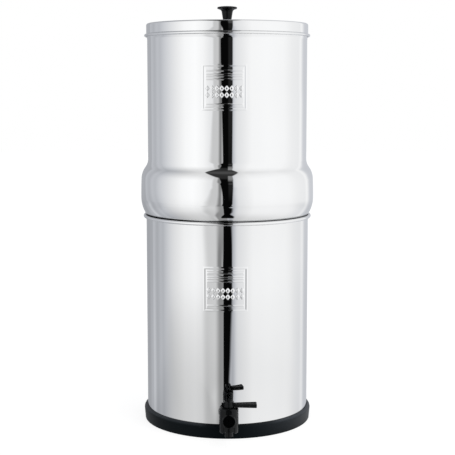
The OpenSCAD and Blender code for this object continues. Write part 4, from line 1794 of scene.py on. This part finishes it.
    def gap(self, desk: Desk, light: Wire, turn: Wire, level: Wire) -> Wire:
        """Cuts the dark gap at the front out of the cloth.

        Args:
            desk: the world's nodes.
            light: the cloth's colour.
            turn: the direction's turn.
            level: the direction's level.

        Returns:
            The colour with the gap.
        """
        left = self.gap_left.over(level) * -1.0
        right = self.gap_right.over(level)
        inside = turn.cross(left, self.gap_left_soft)
        inside = inside * (1.0 - turn.cross(right, self.gap_right_soft.over(level)))
        inside = inside * level.rise(*self.gap_low) * level.fall(*self.gap_high)
        haze = self.haze.over(level) * turn.rise(*self.haze_turn)
        veil = self.veil.over(level) * turn.rise(*self.veil_turn)
        return desk.mix(inside, light, (self.dark.over(level) + haze + veil) / self.peak)

    def roof(self, desk: Desk, light: Wire, x: Wire, y: Wire, z: Wire) -> Wire:
        """Leaves an oval of the roof open to the dark.

        Args:
            desk: the world's nodes.
            light: the cloth's colour.
            x: how far the direction points to the right.
            y: how far it points to the back.
            z: how far it points up.

        Returns:
            The colour with the opening.
        """
        across, along = (
            (part - middle) / half for part, middle, half in zip((x, y), self.roof_middle, self.roof_half)
        )
        inside = (across * across + along * along).fall(*self.roof_edge) * z.rise(*self.roof_level)
        return desk.mix(inside, light, self.roof_light.over(z) / self.peak)

    def build(self) -> None:
        """Makes the world, which the camera itself sees as plain white."""
        world = bpy.data.worlds.new("tent")
        bpy.context.scene.world = world
        desk = Desk(world)
        x, y, z = desk.split(desk.wire("ShaderNodeTexCoord", output="Generated"))
        turn = desk.math("ARCTAN2", x, y * FORWARD) * DEGREE - self.heading
        level = desk.math("ARCSINE", z) * DEGREE
        light = self.bands(desk, self.cloth_light(desk, turn, level, x), turn, level)
        light = self.gap(desk, self.roof(desk, light, x, y, z), turn, level)
        seen = desk.wire("ShaderNodeLightPath", output="Is Camera Ray")
        backdrop = desk.wire("ShaderNodeBackground", {}, {"Color": (*WHITE, 1.0), "Strength": 1.0})
        tent = desk.wire("ShaderNodeBackground", {}, {"Color": light, "Strength": self.peak})
        both = desk.wire("ShaderNodeMixShader", {}, {0: seen, 1: tent, 2: backdrop})
        desk.node("ShaderNodeOutputWorld", {}, {"Surface": both})


@dataclass
class Floor:
    """The pale floor, which the camera sees nearly white and which keeps a soft shadow.

    Close to the object's front it sends less of the tent's light up to the steel, but not at the right.
    """

    size: float = 14.0
    drop: float = 0.2 * MM
    pale: float = 0.93
    mottle: Point = (0.4, 0.01)
    glow: float = 0.69
    glow_light: float = 1.2
    dim: float = 0.28
    close: Point = (0.2, 1.5)
    front: Point = (-0.15, 0.1)
    far: Point = (0.33, 0.50)
    lit: float = 0.75
    lit_slant: float = 0.66
    lit_edge: Point = (0.07, 0.13)
    lit_spread: Point = (0.15, 0.25)

    def near(self, desk: Desk) -> Wire:
        """Wires how much of the tent's light the floor sends up to the steel.

        Args:
            desk: the floor's nodes.

        Returns:
            The share of the light, from 0 to 1.
        """
        x, y, _ = desk.split(desk.place())
        away = desk.from_axis(x, y)
        far = away.rise(*self.far)
        low = self.lit_edge[0] - self.lit_spread[0] * far
        high = self.lit_edge[1] + self.lit_spread[1] * far
        lit = self.lit * (x - self.lit_slant * y).rise(low, high)
        return 1.0 - self.dim * away.fall(*self.close) * y.fall(*self.front) * (1.0 - lit)

    def build(self) -> None:
        """Lays the floor and its material."""
        Bench.clear()
        bpy.ops.mesh.primitive_plane_add(size=self.size, location=(0, 0, -self.drop))
        floor = Bench.named("floor")
        material = bpy.data.materials.new("floor")
        desk = Desk(material)
        patch, change = self.mottle
        tone = desk.mix(desk.noise(patch), (self.pale,) * 3, (self.pale + change,) * 3)
        matt = desk.wire("ShaderNodeBsdfDiffuse", {}, {"Color": tone})
        glow = desk.wire("ShaderNodeEmission", {}, {"Color": (*WHITE, 1.0), "Strength": self.glow_light})
        paths = desk.node("ShaderNodeLightPath")
        seen, mirrored = (Wire(desk, paths.outputs[f"Is {ray} Ray"]) for ray in ("Camera", "Glossy"))
        both = desk.wire("ShaderNodeMixShader", {}, {0: seen * self.glow, 1: matt, 2: glow})
        clear = desk.wire("ShaderNodeBsdfTransparent", {}, {"Color": self.near(desk)})
        both = desk.wire("ShaderNodeMixShader", {}, {0: mirrored, 1: both, 2: clear})
        desk.node("ShaderNodeOutputMaterial", {}, {"Surface": both})
        floor.data.materials.append(material)


@dataclass
class Viewpoint:
    """A long lens at the front, a little above the middle of the object."""

    lens: float = 91.23
    sensor: float = 36.0
    distance: float = 1.7146
    height: float = 0.4982
    heading: float = -0.8
    pitch: float = 6.997
    aim: float = 0.015

    def build(self) -> None:
        """Puts the camera in its place."""
        turn = math.radians(self.heading)
        data = bpy.data.cameras.new("camera")
        data.lens = self.lens
        data.sensor_width = self.sensor
        camera = bpy.data.objects.new("camera", data)
        camera.location = (self.distance * math.sin(turn), -self.distance * math.cos(turn), self.height)
        camera.rotation_euler = (math.radians(90.0 - self.pitch), 0.0, turn - math.radians(self.aim))
        bpy.context.scene.collection.objects.link(camera)
        bpy.context.scene.camera = camera


@dataclass
class Softbox:
    """A large lamp overhead, which the steel doesn't mirror."""

    power: float = 6.0
    size: float = 1.6
    spot: Triple = (0.5, -0.9, 2.0)
    target: Triple = (0.0, 0.0, 0.3)

    def build(self) -> None:
        """Hangs the lamp and turns it to the object."""
        data = bpy.data.lights.new("softbox", "AREA")
        data.energy = self.power
        data.size = self.size
        lamp = bpy.data.objects.new("softbox", data)
        lamp.location = self.spot
        lamp.rotation_euler = (Vector(self.target) - Vector(self.spot)).to_track_quat("-Z", "Y").to_euler()
        lamp.visible_glossy = False
        bpy.context.scene.collection.objects.link(lamp)


def main() -> None:
    """Builds the light, the camera and every piece."""
    logging.basicConfig(level=logging.INFO, format="%(name)s: %(message)s")
    bpy.context.scene.view_settings.view_transform = "Standard"
    Viewpoint().build()
    LightTent().build()
    Softbox().build()
    Floor().build()
    finisher = Finisher()
    sheet = Sheet()
    lower = LowerChamber(sheet)
    upper = UpperChamber(sheet, lower)
    for assembly in (
        lower,
        upper,
        Lid(sheet),
        BaseRing(lower),
        PressedPanel("upper_panel", upper.wall, 496.3 * MM, Body.UPPER, offset=-5.6 * MM),
        PressedPanel("lower_panel", lower.wall, 214.6 * MM, Body.BASE, offset=-4.2 * MM, proud=0.37 * MM),
        Tap(lower.wall),
        Filters(),
    ):
        assembly.build(finisher)


if __name__ == "__main__":
    main()
